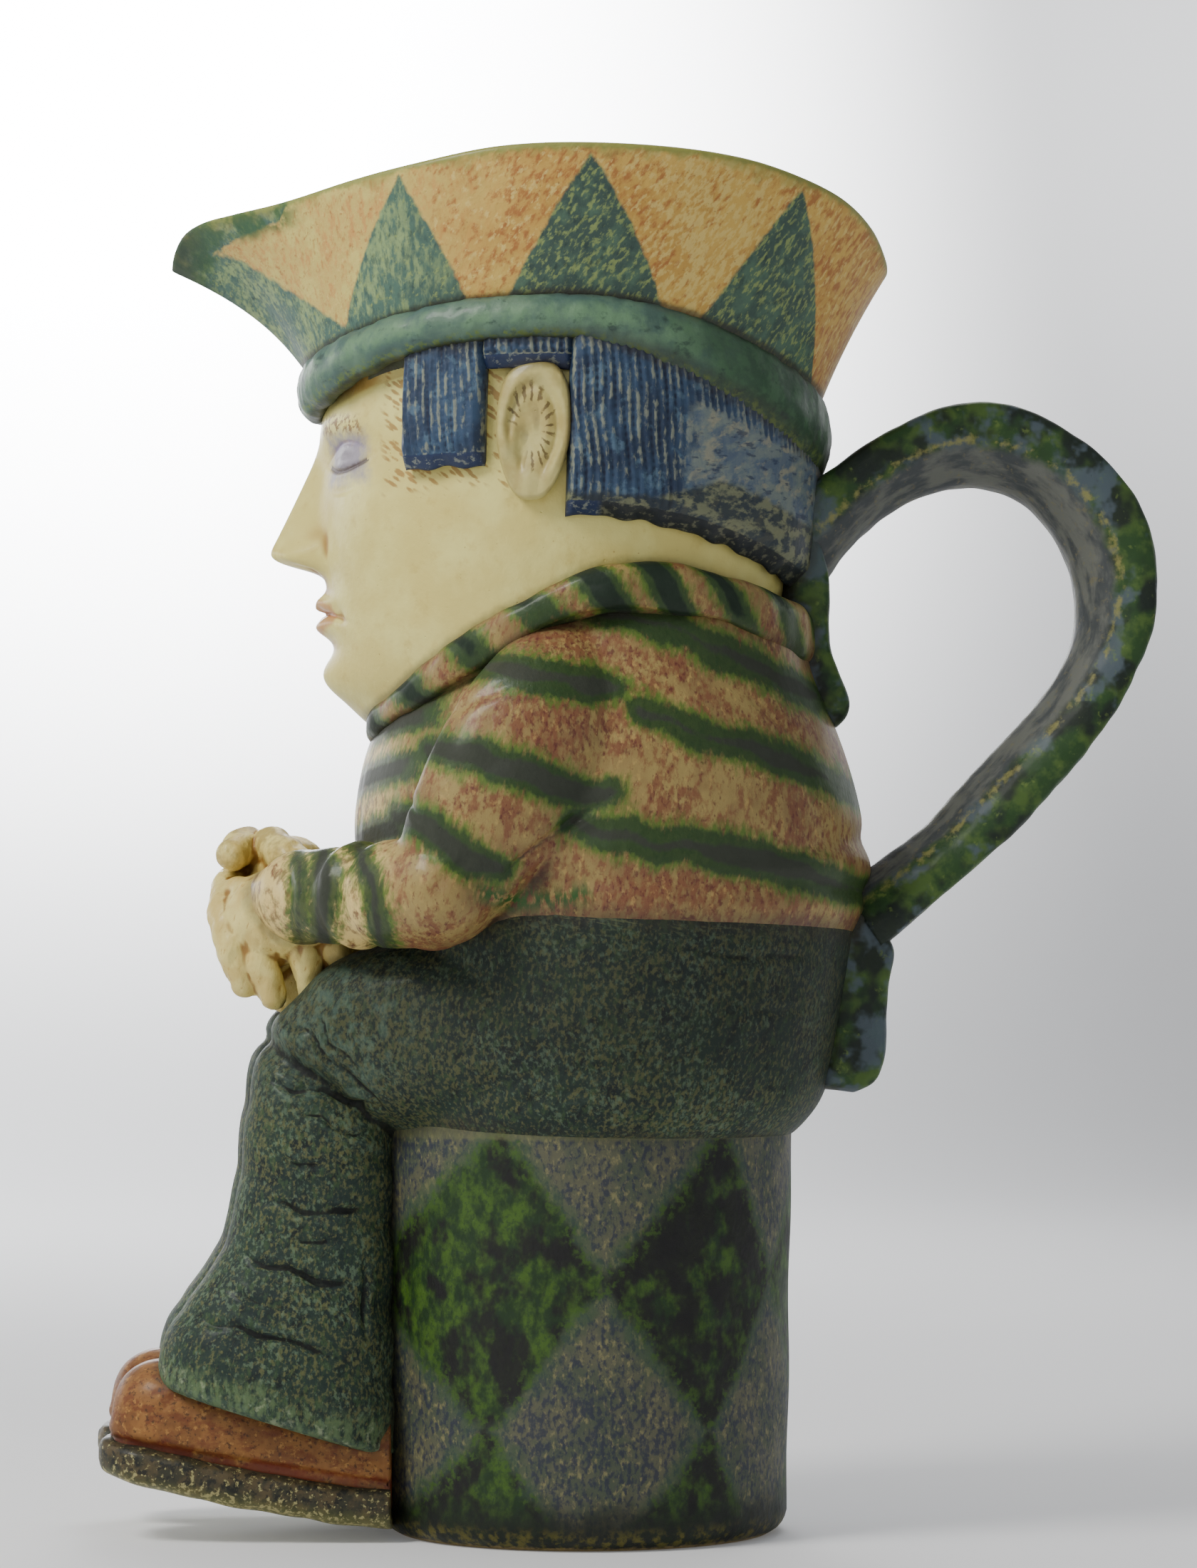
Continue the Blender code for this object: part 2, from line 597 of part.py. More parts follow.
def hat_wall(a, share, inset=0.0):
    """The hat's wall from the band, share 0, to the rim, share 1, inset from its outside."""
    a, share = np.broadcast_arrays(np.asarray(a, float), np.asarray(share, float))
    back = np.clip(np.sin(a), 0, 1)
    front = np.clip(-np.sin(a), 0, 1)
    top, bottom = band_edges(a)
    foot = (top + bottom) / 2
    off_front = np.abs(np.angle(np.exp(1j * (a - FRONT))))
    rim = through(
        [0, 5, 8, 15, 23, 39, 58, 75, 95, 120, 134, 146, 161, 180],
        [175, 178.5, 181.3, 182.6, 183.6, 186, 188.3, 189.9, 190, 188.4, 186, 183.4, 179.5, 173.5],
        np.degrees(off_front),
    )
    beak = np.exp(-((off_front / math.radians(20)) ** 1.6))
    low_x = 47 * np.cos(a)
    low_y = -4.0 + 49.6 * np.sin(a)
    high_x = (58 + 24 * beak) * np.cos(a)
    high_y = 0.5 + (61.8 + 23.2 * beak) * np.sin(a)
    spread = share * (1.12 - 0.12 * share) - 0.45 * back**3 * share * (1 - share)
    spread = spread + beak * (0.54 * share + 0.46 * share**3 - spread)
    x = low_x + (high_x - low_x) * spread
    y = low_y + (high_y - low_y) * spread
    z = foot + (rim - foot) * share
    away = np.stack([high_x, high_y + 6 * beak * front], -1)
    away = away / np.linalg.norm(away, axis=-1, keepdims=True)
    x = x * PART - away[..., 0] * inset
    y = y * PART - away[..., 1] * inset
    return np.stack([x, y, STOOL_HEIGHT + z * PART], -1)


def hat():
    """The hat, closed across its mouth until the hollow is cut."""
    a = turn(96)
    low = hat_wall(a, 0.0)
    sunk = low * [0.86, 0.86, 1] - [0, 0, 6 * PART]
    walls = hat_wall(a, np.linspace(0, 0.97, 9)[:, None])
    lip = hat_wall(a, 1.0, 0.5 * MM)
    crest = hat_wall(a, 1.0, 1.6 * MM) + [0, 0, 0.4 * MM]
    deep = hat_wall(a, 1.0, HAT_WALL * 2) - [0, 0, 1.0 * MM]
    return clay(np.concatenate([sunk[None], walls, [lip, crest, deep]]))


def hat_band():
    """The rolled band that hides the foot of the hat."""
    a = turn(72)
    top, bottom = band_edges(a)
    middle = hat_wall(a, 0.0)
    high = (top - bottom) / 2 * PART
    out = np.stack([np.cos(a), np.sin(a), 0 * a], -1)
    b = turn(14)[:, None, None]
    rings = middle + (4.2 * np.cos(b) + 0.6) * PART * out + high[:, None] * np.sin(b) * [0, 0, 1]
    return hoop(rings.transpose(1, 0, 2))


# The handle


def strap(outer, inner, outer_width, inner_width, steps):
    """A strap hung between its outer and inner outlines, wide outside and keeled inside."""
    knots = np.arange(len(outer))
    at = np.linspace(0, len(outer) - 1, steps)
    out = through(knots, np.array(outer, float), at) * PART
    into = through(knots, np.array(inner, float), at) * PART
    # The section's corners: a share of the depth from the outside, and a half width.
    depth = np.array([0.0, 0.10, 0.48, 0.90, 1.0, 1.0, 0.90, 0.48, 0.10, 0.0])
    half = np.array([0.42, 0.5, 0.5, 0, 0, 0, 0, -0.5, -0.5, -0.42]) * outer_width
    half[[3, 4, 5, 6]] = np.array([0.5, 0.34, -0.34, -0.5]) * inner_width
    yz = out[:, None] + (into - out)[:, None] * depth[None, :, None]
    return np.stack([half + 0 * yz[..., 0], yz[..., 0], yz[..., 1] + STOOL_HEIGHT], -1)


def handle():
    """The strap, and the tails by which it was luted to the nape and to the small of the back."""
    outer = [
        (44.8, 129.2), (57.7, 137.6), (71.9, 144.3), (86.2, 145), (100.3, 137.9), (107.4, 131.1),
        (112.4, 124), (115.2, 116.2), (116.1, 107.7), (114.5, 99.2), (111, 90.6),
        (105.3, 80.7), (96.7, 70.1), (86.2, 58.7), (75.5, 49.4), (68.3, 43), (60, 36),
    ]
    inner = [
        (47, 107), (54.5, 117.4), (66, 126), (78.1, 129), (88, 126.6), (93.4, 122),
        (97, 117), (99.6, 112), (100.7, 106.4), (100.6, 100), (98, 92.8),
        (92, 84), (84.8, 76), (77.5, 68), (69.5, 58.7), (61, 52), (52, 46),
    ]
    nape_outer = [
        (43, 126), (46.5, 121), (49.5, 112), (49.5, 104),
        (49.8, 97), (51.8, 91), (53.4, 86), (52.6, 81.8),
    ]
    nape_inner = [(36, 122), (38, 117), (39, 110), (39, 104), (39, 97), (42, 90), (45.5, 84.5), (49, 80.8)]
    waist_outer = [
        (52, 50), (60, 46), (63.6, 37.6), (61.6, 29),
        (60.8, 21), (60.8, 15), (58.8, 9.5), (54.5, 7.0),
    ]
    waist_inner = [(44, 48), (46, 44), (46, 36), (46, 29), (46, 21), (46, 15), (45.5, 10), (45.5, 8.0)]
    tail = HANDLE_WIDTH * 0.9
    return [
        clay(strap(outer, inner, HANDLE_WIDTH, HANDLE_KEEL, 44)),
        clay(strap(nape_outer, nape_inner, tail, HANDLE_WIDTH * 0.8, 14)),
        clay(strap(waist_outer, waist_inner, tail * 1.05, tail, 14)),
    ]


# The hollow


def hollow():
    """The empty inside, from the stool's floor out through the hat."""
    a = turn(40)
    inside = (STOOL_RADIUS - WALL) / PART
    wall = WALL / PART
    drop = STOOL_HEIGHT / PART
    floor = FLOOR_THICKNESS / PART - drop
    table = np.array(
        [
            (floor, -inside + 4, inside - 4, inside - 4),
            (floor + 1.4, -inside + 1, inside - 1, inside - 1),
            (floor + 4, -inside, inside, inside),
            (-6, -inside, inside, inside),
            (6, -inside - 0.5, inside + 3, inside + 2),
            (18, -inside - 1, 46 - wall, 44.5 - wall),
            (34, -42 + wall, 51 - wall, 49 - wall),
            (52, -44 + wall, 55 - wall, 50 - wall),
            (68, -44 + wall, 53 - wall, 50 - wall),
            (84, -42.5 + wall, 48 - wall, 45.5 - wall),
            (98, -45 + wall, 41.5 - wall, 40 - wall),
            (116, -48 + wall, 41 - wall, 42 - wall),
            (136, -49 + wall, 42 - wall, 44 - wall),
        ]
    )
    z, front, back, half_width = (table[:, i] * PART for i in range(4))
    at = np.concatenate([z[:3], np.linspace(z[3], z[-1], 14)])
    columns = [through(z, v, at) for v in (front, back, half_width)]
    body = level_rings(STOOL_HEIGHT + at, *columns, len(a))
    mouth = hat_wall(a, np.array([0.12, 0.4, 0.7, 0.93])[:, None], HAT_WALL)
    flare = hat_wall(a, 1.0, HAT_WALL * 0.72)
    lip = hat_wall(a, 1.0, HAT_WALL * 0.45) + [0, 0, 0.6 * MM]
    above = lip + [0, 0, CUT_ROOM * 2]
    return clay(np.concatenate([body, mouth, [flare, lip, above]]))


def floor_cutter():
    """Everything below the floor that the jug stands on."""
    reach = 3 * FIGURE_HEIGHT
    z = np.array([-reach, 0.0])
    side = np.array([reach, reach])
    return clay(level_rings(z, -side, side, side, 8))


# Joining the clay


def glaze():
    """Mottled green and buff glaze, as one mean colour."""
    material = bpy.data.materials.new("glazed earthenware")
    material.use_nodes = True
    shader = material.node_tree.nodes["Principled BSDF"]
    shader.inputs["Base Color"].default_value = (0.20, 0.22, 0.13, 1)
    shader.inputs["Roughness"].default_value = 0.35
    shader.inputs["Metallic"].default_value = 0.0
    return material


def cut(target, name, shells):
    """Cuts closed surfaces out of the target. The cutter is kept, out of the render."""
    cutter = body_of(name, shells)
    bpy.context.scene.collection.objects.link(cutter)
    cutter.hide_render = True
    cutter.display_type = "WIRE"
    modifier = target.modifiers.new("cut " + name, "BOOLEAN")
    modifier.operation = "DIFFERENCE"
    modifier.solver = "EXACT"
    modifier.object = cutter


def build():
    for o in list(bpy.data.objects):
        bpy.data.objects.remove(o)
    shells = [torso(), stool(), seat(), collar(), head(), hat(), hat_band()]
    shells += [*hands(), *hair(), *handle()]
    for side in (1, -1):
        shells += [*leg(side), *shoe(side), *arm(side), *ear(side)]
    jug = body_of("jug", shells)
    bpy.context.scene.collection.objects.link(jug)
    press = jug.modifiers.new("press the clay together", "REMESH")
    press.mode = "VOXEL"
    press.voxel_size = GRAIN
    press.use_smooth_shade = True
    jug.modifiers.new("lighten", "DECIMATE").ratio = SHARE_KEPT
    cut(jug, "hollow", [hollow()])
    cut(jug, "floor", [floor_cutter()])
    jug.data.materials.append(glaze())


build()
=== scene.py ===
import math
import bpy
import numpy as np
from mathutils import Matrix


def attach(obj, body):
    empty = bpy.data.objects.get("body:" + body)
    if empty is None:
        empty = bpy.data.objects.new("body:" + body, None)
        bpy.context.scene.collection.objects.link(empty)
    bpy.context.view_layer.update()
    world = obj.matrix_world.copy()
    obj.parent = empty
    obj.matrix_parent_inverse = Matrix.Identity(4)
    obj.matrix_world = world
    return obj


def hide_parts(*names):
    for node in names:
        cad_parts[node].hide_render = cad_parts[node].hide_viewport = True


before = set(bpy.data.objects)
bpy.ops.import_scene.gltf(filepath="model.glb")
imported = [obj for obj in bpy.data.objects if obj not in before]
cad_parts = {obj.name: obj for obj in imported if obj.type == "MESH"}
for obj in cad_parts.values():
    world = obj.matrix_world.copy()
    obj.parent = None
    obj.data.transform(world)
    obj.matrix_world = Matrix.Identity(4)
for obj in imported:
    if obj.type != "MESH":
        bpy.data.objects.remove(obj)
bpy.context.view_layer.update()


# The pot: stool, hidden body wall and hat
# Buff earthenware, thrown and pressed as one hollow vessel. The stool is its foot and the tall
# hat is its mouth, with a beak to pour from. Everything else on the jug was luted on to it.

MM = 0.001
SEAT = 81 * MM  # the stool's top, from which the figure's heights are counted
STOOL_RADIUS = 41 * MM
STOOL_FLARE = 1.2 * MM
STOOL_SIDE = 85 * MM  # runs on a little above the seat, under the trousers
FLOOR = 6.5 * MM
HAT_WALL = 4.2 * MM
HALF_WALL = 2.3 * MM  # of the body, from the hollow to the middle of its wall
FRONT = -math.pi / 2
DIAMONDS = 5
DIAMOND_TURN = math.radians(3.5)  # where two diamonds meet, by the figure's left knee
DIAMOND_MIDDLE = 52 * MM
DIAMOND_HALF = 29.5 * MM
DIAMOND_EDGE = 19  # millimetres from a diamond's middle to its edges
HAT_PEAKS = ((-62, -36, -19.5), (-14.7, 1.2, 25), (27, 44, 79))  # foot, tip and foot, in degrees
HAT_FOOT = (47, 49.6)  # half width and half length, in millimetres
HAT_RIM = (58, 61.8)
BEAK = (24, 23.2)  # what the beak adds to the rim's
BEAK_DEGREES = 20
# The rim's height above the seat, in millimetres, at degrees from the beak's tip.
RIM_HEIGHTS = np.array(
    [
        (0, 174.2), (2.5, 177.4), (5, 180), (8, 181.5), (15, 182.5), (23, 183.3), (39, 185.5),
        (58, 187.7), (75, 189.8), (95, 190), (120, 188.4), (134, 186), (146, 183.4), (159, 179.2),
        (170, 175.2), (180, 174.0),
    ]
)


def turn(count):
    """Angles round the jug, evenly spaced: 0 is the figure's left, a quarter turn on is its back."""
    return np.linspace(0, 2 * math.pi, count, endpoint=False)


def bump(distance, width):
    """A smooth hill: e to the power of minus the square of distance over width."""
    return np.exp(-((distance / width) ** 2))


def through(knots, values, at):
    """A smooth curve through values at knots: cubic spans whose slopes are the means beside them."""
    knots = np.asarray(knots, float)
    values = np.asarray(values, float)
    rise = np.diff(values, axis=0) / np.diff(knots).reshape(-1, *[1] * (values.ndim - 1))
    slope = np.concatenate([rise[:1], (rise[1:] + rise[:-1]) / 2, rise[-1:]])
    at = np.clip(np.asarray(at, float), knots[0], knots[-1])
    i = np.clip(np.searchsorted(knots, at, side="right") - 1, 0, len(knots) - 2)
    step = np.diff(knots)[i]
    t = (at - knots[i]) / step
    if values.ndim > 1:
        step = step[..., None]
        t = t[..., None]
    return (
        values[i] * (1 + 2 * t) * (1 - t) ** 2
        + values[i + 1] * t * t * (3 - 2 * t)
        + slope[i] * step * t * (1 - t) ** 2
        - slope[i + 1] * step * t * t * (1 - t)
    )


def sway(points, size, seed):
    """A slow even wobble from about -1 to 1: five sine waves, size long and in directions picked
    by the seed, added and made smaller."""
    pick = np.random.default_rng(seed)
    heading = pick.normal(size=(5, 3))
    heading *= 2 * math.pi / size / np.linalg.norm(heading, axis=1, keepdims=True)
    return np.sin(points @ heading.T + pick.uniform(0, 6.28, 5)).sum(-1) / 3.2


def hat_edges(a):
    """Heights of the hat band's upper and lower edges: a level, less a power of the sine of a."""
    back = np.clip(np.sin(a), 0, 1)
    front = np.clip(-np.sin(a), 0, 1)
    top = 162.3 - 14.7 * back**2 - 7.8 * front**2.5
    bottom = 153.6 - 22.6 * back**1.5 - 10.6 * front**3
    return top, bottom


def hat_wall(a, share, inset=0.0):
    """The hat from its band, share 0, to its rim, share 1: an oval blended to a wider oval with a
    beak, a hill of angle at its front. inset moves the point in towards the axis."""
    a, share = np.broadcast_arrays(np.asarray(a, float), np.asarray(share, float))
    back = np.clip(np.sin(a), 0, 1)
    front = np.clip(-np.sin(a), 0, 1)
    top, bottom = hat_edges(a)
    foot = (top + bottom) / 2
    off_front = np.abs(np.angle(np.exp(1j * (a - FRONT))))
    rim = through(*RIM_HEIGHTS.T, np.degrees(off_front))
    beak = np.exp(-((off_front / math.radians(BEAK_DEGREES)) ** 1.6))
    low_x = HAT_FOOT[0] * np.cos(a)
    low_y = -4.0 + HAT_FOOT[1] * np.sin(a)
    high_x = (HAT_RIM[0] + BEAK[0] * beak) * np.cos(a)
    high_y = 0.5 + (HAT_RIM[1] + BEAK[1] * beak) * np.sin(a)
    spread = share * (1.12 - 0.12 * share) - 0.45 * back**3 * share * (1 - share)
    spread = spread + beak * (0.54 * share + 0.46 * share**3 - spread)
    x = low_x + (high_x - low_x) * spread
    y = low_y + (high_y - low_y) * spread
    z = foot + (rim - foot) * share
    away = np.stack([high_x, high_y + 6 * beak * front], -1)
    away = away / np.linalg.norm(away, axis=-1, keepdims=True)
    return np.stack([x * MM - away[..., 0] * inset, y * MM - away[..., 1] * inset, SEAT + z * MM], -1)


# Height above the seat, front, back and half width of the empty inside, in millimetres.
HOLLOW = np.array(
    [
        (-74.5, -32, 32, 32), (-73.1, -35, 35, 35), (-70.5, -36, 36, 36), (-6, -36, 36, 36),
        (6, -36.5, 39, 38), (18, -37, 41, 39.5), (34, -37, 46, 44), (52, -39, 50, 45),
        (68, -39, 48, 45), (84, -37.5, 43, 40.5), (98, -40, 36.5, 35), (116, -43, 36, 37),
        (136, -44, 37, 39), (152, -51.2, 44, 42.2), (162, -54, 46, 44.2),
    ]
) * MM


def wall_ring(z, room):
    """Middle, half length and half width of the empty inside at heights z, made larger by room."""
    front, back, wide = (through(HOLLOW[:, 0], HOLLOW[:, i], z - SEAT) for i in (1, 2, 3))
    return (front + back) / 2, (back - front) / 2 + room, wide + room


def on_wall(points, room=HALF_WALL, only_inside=False):
    """Points moved level, away from the axis, on to the middle of the body's wall. A point's share
    of the oval is the root of the summed squares of its x and y over the oval's half sizes."""
    middle, long, wide = wall_ring(points[..., 2], room)
    x, y = points[..., 0], points[..., 1] - middle
    share = np.sqrt((x / wide) ** 2 + (y / long) ** 2) + 1e-9
    if only_inside:
        share = np.minimum(share, 1)
    return np.stack([x / share, middle + y / share, points[..., 2]], -1)


def wall_oval(a, z, room, ripple=1.0):
    """The oval round the empty inside at height z, made larger by room and then by ripple."""
    middle, long, wide = wall_ring(np.asarray(z), room)
    x, y = wide * ripple * np.cos(a), middle + long * ripple * np.sin(a)
    return np.stack(np.broadcast_arrays(x, y, z), -1)


def pot_rings(a):
    """Rings from the middle of the underside, up the outside, over the rim, down to the inner floor.
    Returned with the row numbers at which the underside, the stool, the hat and the inside begin."""
    level = lambda r, z: np.stack([r * np.cos(a), r * np.sin(a), z + 0 * a], -1)
    under = [level(r * MM, 0.0) for r in (6, 16, 26, 33, 36.4)]
    rounded = ((3.4, 0.05), (2.6, 0.5), (1.7, 1.1), (0.9, 2.0), (0.4, 3.0))
    foot = [level(STOOL_RADIUS - inward * MM, z * MM) for inward, z in rounded]
    up_side = np.linspace(4.2 * MM, STOOL_SIDE, 66)
    side = [level(STOOL_RADIUS + STOOL_FLARE * z / STOOL_SIDE - 0.1 * MM, z) for z in up_side]
    hidden = [h * MM for h in (90, 98, 108, 120, 132, 146, 160, 172, 184, 197, 212)]
    hidden.append(SEAT + (sum(hat_edges(a)) / 2 - 3.5) * MM)
    hidden = [wall_oval(a, z, HALF_WALL) for z in hidden]
    hat = list(hat_wall(a, np.linspace(0, 0.97, 48)[:, None]))
    up = np.array([0, 0, 1.0])
    lip = ((0.985, 0.1, 0), (1.0, 0.45, 0), (1.0, 1.0, 0.3), (1.0, 1.7, 0.4), (1.0, 2.5, 0.25))
    for share, inset, lift in lip:
        hat.append(hat_wall(a, share, inset * MM) + lift * MM * up)
    inner = [hat_wall(a, 1.0, 3.2 * MM) - 0.3 * MM * up]
    inner += list(hat_wall(a, np.linspace(0.93, 0.12, 20)[:, None], HAT_WALL))
    for h in np.concatenate([np.linspace(136, -70, 40), [-72.2, -73.6, -74.3]]):
        inner.append(wall_oval(a, SEAT + h * MM, 0.0, 1 + 0.006 * math.sin(h / 2.2)))
    inner += [level(r * MM, FLOOR + 0.15 * MM * math.cos(r / 1.4)) for r in (29, 22, 14, 6)]
    starts = np.cumsum([len(under), len(foot) + len(side) + len(hidden), len(hat)])
    return np.array(under + foot + side + hidden + hat + inner), starts


def ring_faces(count, sides, wrap=False):
    """Three-cornered faces of a grid whose columns close. With wrap its rows close too, and
    otherwise a point after the last, and one more, close its two ends as fans."""
    corner = np.arange(count * sides).reshape(count, sides)
    above = np.roll(corner, -1, axis=0) if wrap else corner[1:]
    lower = corner if wrap else corner[:-1]
    a, b, c, d = (v.ravel() for v in (lower, np.roll(lower, -1, 1), np.roll(above, -1, 1), above))
    faces = [(a, b, c), (a, c, d)]
    if not wrap:
        first = np.full(sides, count * sides)
        beside = np.roll(corner, -1, axis=1)
        faces += [(first, beside[0], corner[0]), (first + 1, corner[-1], beside[-1])]
    return np.concatenate([np.stack(f, -1) for f in faces])


def closed(rings, wrap=False):
    """Points and faces of a closed surface from rings of points, turned so that it faces outwards."""
    rings = np.asarray(rings, float)
    points = rings.reshape(-1, 3)
    if not wrap:
        points = np.concatenate([points, rings[:1].mean(1), rings[-1:].mean(1)])
    faces = ring_faces(*rings.shape[:2], wrap)
    a, b, c = points[faces].transpose(1, 0, 2)
    if np.einsum("ij,ij->", a, np.cross(b, c)) < 0:
        faces = faces[:, ::-1]
    return points, faces


def outward(points, faces):
    """The unit normal at each point: the sum of its faces' cross products, made one long."""
    a, b, c = points[faces].transpose(1, 0, 2)
    cross = np.cross(b - a, c - a)
    total = np.stack(
        [np.bincount(faces.ravel(), np.repeat(cross[:, i], 3), len(points)) for i in range(3)], -1
    )
    return total / (np.linalg.norm(total, axis=1, keepdims=True) + 1e-15)


def softened(points, faces, times):
    """Each point moved to the mean of its neighbours, a number of times."""
    start = faces.ravel()
    end = np.roll(faces, -1, axis=1).ravel()
    count = np.maximum(np.bincount(start, minlength=len(points)), 1)[:, None]
    for _ in range(times):
        total = [np.bincount(start, points[end, i], len(points)) for i in range(points.shape[1])]
        points = np.stack(total, -1) / count
    return points


skins = []


def piece(name, points, faces, glazes, marks=None, reach=14):
    """A finished piece from arrays. marks are values at its points that its glazes read. The mark
    hollow is how far the softened surface stands over the real one, in millimetres."""
    mesh = bpy.data.meshes.new(name)
    mesh.vertices.add(len(points))
    mesh.vertices.foreach_set("co", points.ravel().astype(np.float32))
    mesh.loops.add(faces.size)
    mesh.loops.foreach_set("vertex_index", faces.ravel().astype(np.int32))
    mesh.polygons.add(len(faces))
    mesh.polygons.foreach_set("loop_start", np.arange(0, faces.size, 3, dtype=np.int32))
    mesh.update(calc_edges=True)
    mesh.shade_smooth()
    sunk = ((softened(points, faces, reach) - points) * outward(points, faces)).sum(1) / MM
    for label, values in {"hollow": sunk, **(marks or {})}.items():
        layer = mesh.attributes.new(label, "FLOAT", "POINT")
        layer.data.foreach_set("value", np.asarray(values, np.float32).ravel())
    made = bpy.data.objects.new(name, mesh)
    bpy.context.scene.collection.objects.link(made)
    for glaze in glazes:
        mesh.materials.append(glaze)
    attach(made, "root")
    skins.append((made, points, faces))
    return made


def colour(red, green, blue):
    """A colour given as 0 to 255 on screen, made linear: the share to the power 2.2."""
    return tuple((v / 255) ** 2.2 for v in (red, green, blue)) + (1.0,)


def node(tree, kind, inputs, **settings):
    """A new node of this kind in a material's tree, with its inputs linked or set."""
    made = tree.nodes.new("ShaderNode" + kind)
    for key, value in settings.items():
        setattr(made, key, value)
    for key, value in inputs.items():
        if isinstance(value, bpy.types.NodeSocket):
            tree.links.new(value, made.inputs[key])
        else:
            made.inputs[key].default_value = value
    return made


class Glaze:
    """The nodes of one glaze. Sizes are millimetres on the jug's own coordinates. dullness is the
    least roughness, and coat is how much of a clear coat lies over the colour."""

    def __init__(self, name, dullness, coat=0.14):
        self.material = bpy.data.materials.new(name)
        self.material.use_nodes = True
        self.tree = self.material.node_tree
        self.shader = self.tree.nodes["Principled BSDF"]
        self.shader.inputs["Coat Weight"].default_value = coat
        self.shader.inputs["Coat Roughness"].default_value = 0.16
        self.shader.inputs["IOR"].default_value = 1.4
        self.dullness = dullness
        self.place = self.node("TexCoord", {}).outputs["Object"]
        self.relief = None
        self.shade = None

    def node(self, kind, inputs, **settings):
        """A node of this kind in the glaze."""
        return node(self.tree, kind, inputs, **settings)

    def mark(self, name):
        """The value that the mesh holds under this name."""
        return self.node("Attribute", {}, attribute_name=name).outputs["Fac"]

    def laid(self, stretch, lean):
        """Coordinates turned by lean degrees and then stretched, for strokes that run one way."""
        lean = [math.radians(v) for v in lean]
        turned = self.node("Mapping", {"Vector": self.place, "Rotation": lean}).outputs[0]
        return self.node("Mapping", {"Vector": turned, "Scale": [1 / v for v in stretch]}).outputs[0]

    def cloud(self, size, detail=3.0, stretch=(1, 1, 1), lean=(0, 0, 0), shift=0.0):
        """Noise from 0 to 1 in lumps of this size. stretch draws them out along an axis, lean turns
        them, and shift takes them from another place."""
        place = self.laid(stretch, lean)
        if shift:
            place = self.node("Mapping", {"Vector": place, "Location": (shift, shift, shift)}).outputs[0]
        inputs = {"Vector": place, "Scale": 1000 / size, "Detail": detail, "Roughness": 0.6}
        return self.node("TexNoise", inputs).outputs["Fac"]

    def spots(self, size, stretch=(1, 1, 1), lean=(0, 0, 0)):
        """Distance from the middle of scattered cells of this size, from 0 to about 1."""
        inputs = {"Vector": self.laid(stretch, lean), "Scale": 1000 / size}
        return self.node("TexVoronoi", inputs).outputs["Distance"]

    def sum(self, a, b, how="ADD"):
        """Two values added, or joined by another sum of the Math node."""
        return self.node("Math", {0: a, 1: b}, operation=how).outputs[0]

    def less(self, a, b):
        """The first value less the second."""
        return self.sum(a, b, "SUBTRACT")

    def times(self, a, b):
        """The product of two values."""
        return self.sum(a, b, "MULTIPLY")

    def over(self, value, low, high, to=1.0):
        """Rises smoothly from 0 to a top value as the value goes from low to high."""
        inputs = {"Value": value, "From Min": low, "From Max": high, "To Min": 0.0, "To Max": to}
        return self.node("MapRange", inputs, interpolation_type="SMOOTHSTEP").outputs[0]

    def ragged(self, value, noise, reach):
        """A distance moved back and forth by noise, so that a painted edge isn't ruled."""
        return self.sum(value, self.times(self.less(noise, 0.5), reach))

    def edge(self, name, reach, *sizes, **more):
        """A mark moved back and forth by a cloud of these sizes."""
        return self.ragged(self.mark(name), self.cloud(*sizes, **more), reach)

    def lay(self, under, over, share):
        """One colour laid over another where share is 1. Each is a socket or three numbers."""
        under, over = (colour(*c) if isinstance(c, tuple) else c for c in (under, over))
        return self.node("Mix", {0: share, 6: under, 7: over}, data_type="RGBA").outputs[2]

    def paint(self, over, share):
        """A colour laid over what the glaze has so far."""
        self.shade = self.lay(self.shade, over, share)

    def rise(self, value, height):
        """Adds a fine relief of this height, in millimetres, to the glaze's surface."""
        lifted = self.times(value, height * MM)
        self.relief = lifted if self.relief is None else self.sum(self.relief, lifted)

    def fire(self, dull=None):
        """Ends the glaze: dark joins, a patchy gloss, duller where dull is 1, and a relief of
        dimples and pits."""
        self.paint((52, 46, 38), self.over(self.edge("join", 0.5, 2.0, 4), 0.45, 1.20, 0.5))
        self.tree.links.new(self.shade, self.shader.inputs["Base Color"])
        rough = self.sum(self.over(self.cloud(9), 0.3, 0.75, 0.16), self.dullness)
        if dull is not None:
            rough = self.sum(rough, self.times(dull, 0.22))
        self.tree.links.new(rough, self.shader.inputs["Roughness"])
        self.rise(self.cloud(1.1, 2.0), 0.10)
        self.rise(self.cloud(4.5, 2.0), 0.22)
        self.rise(self.over(self.spots(2.6), 0.10, 0.0), -0.10)
        bumped = self.node("Bump", {"Height": self.relief, "Strength": 1.0, "Distance": 1.0})
        self.tree.links.new(bumped.outputs[0], self.shader.inputs["Normal"])
        return self.material


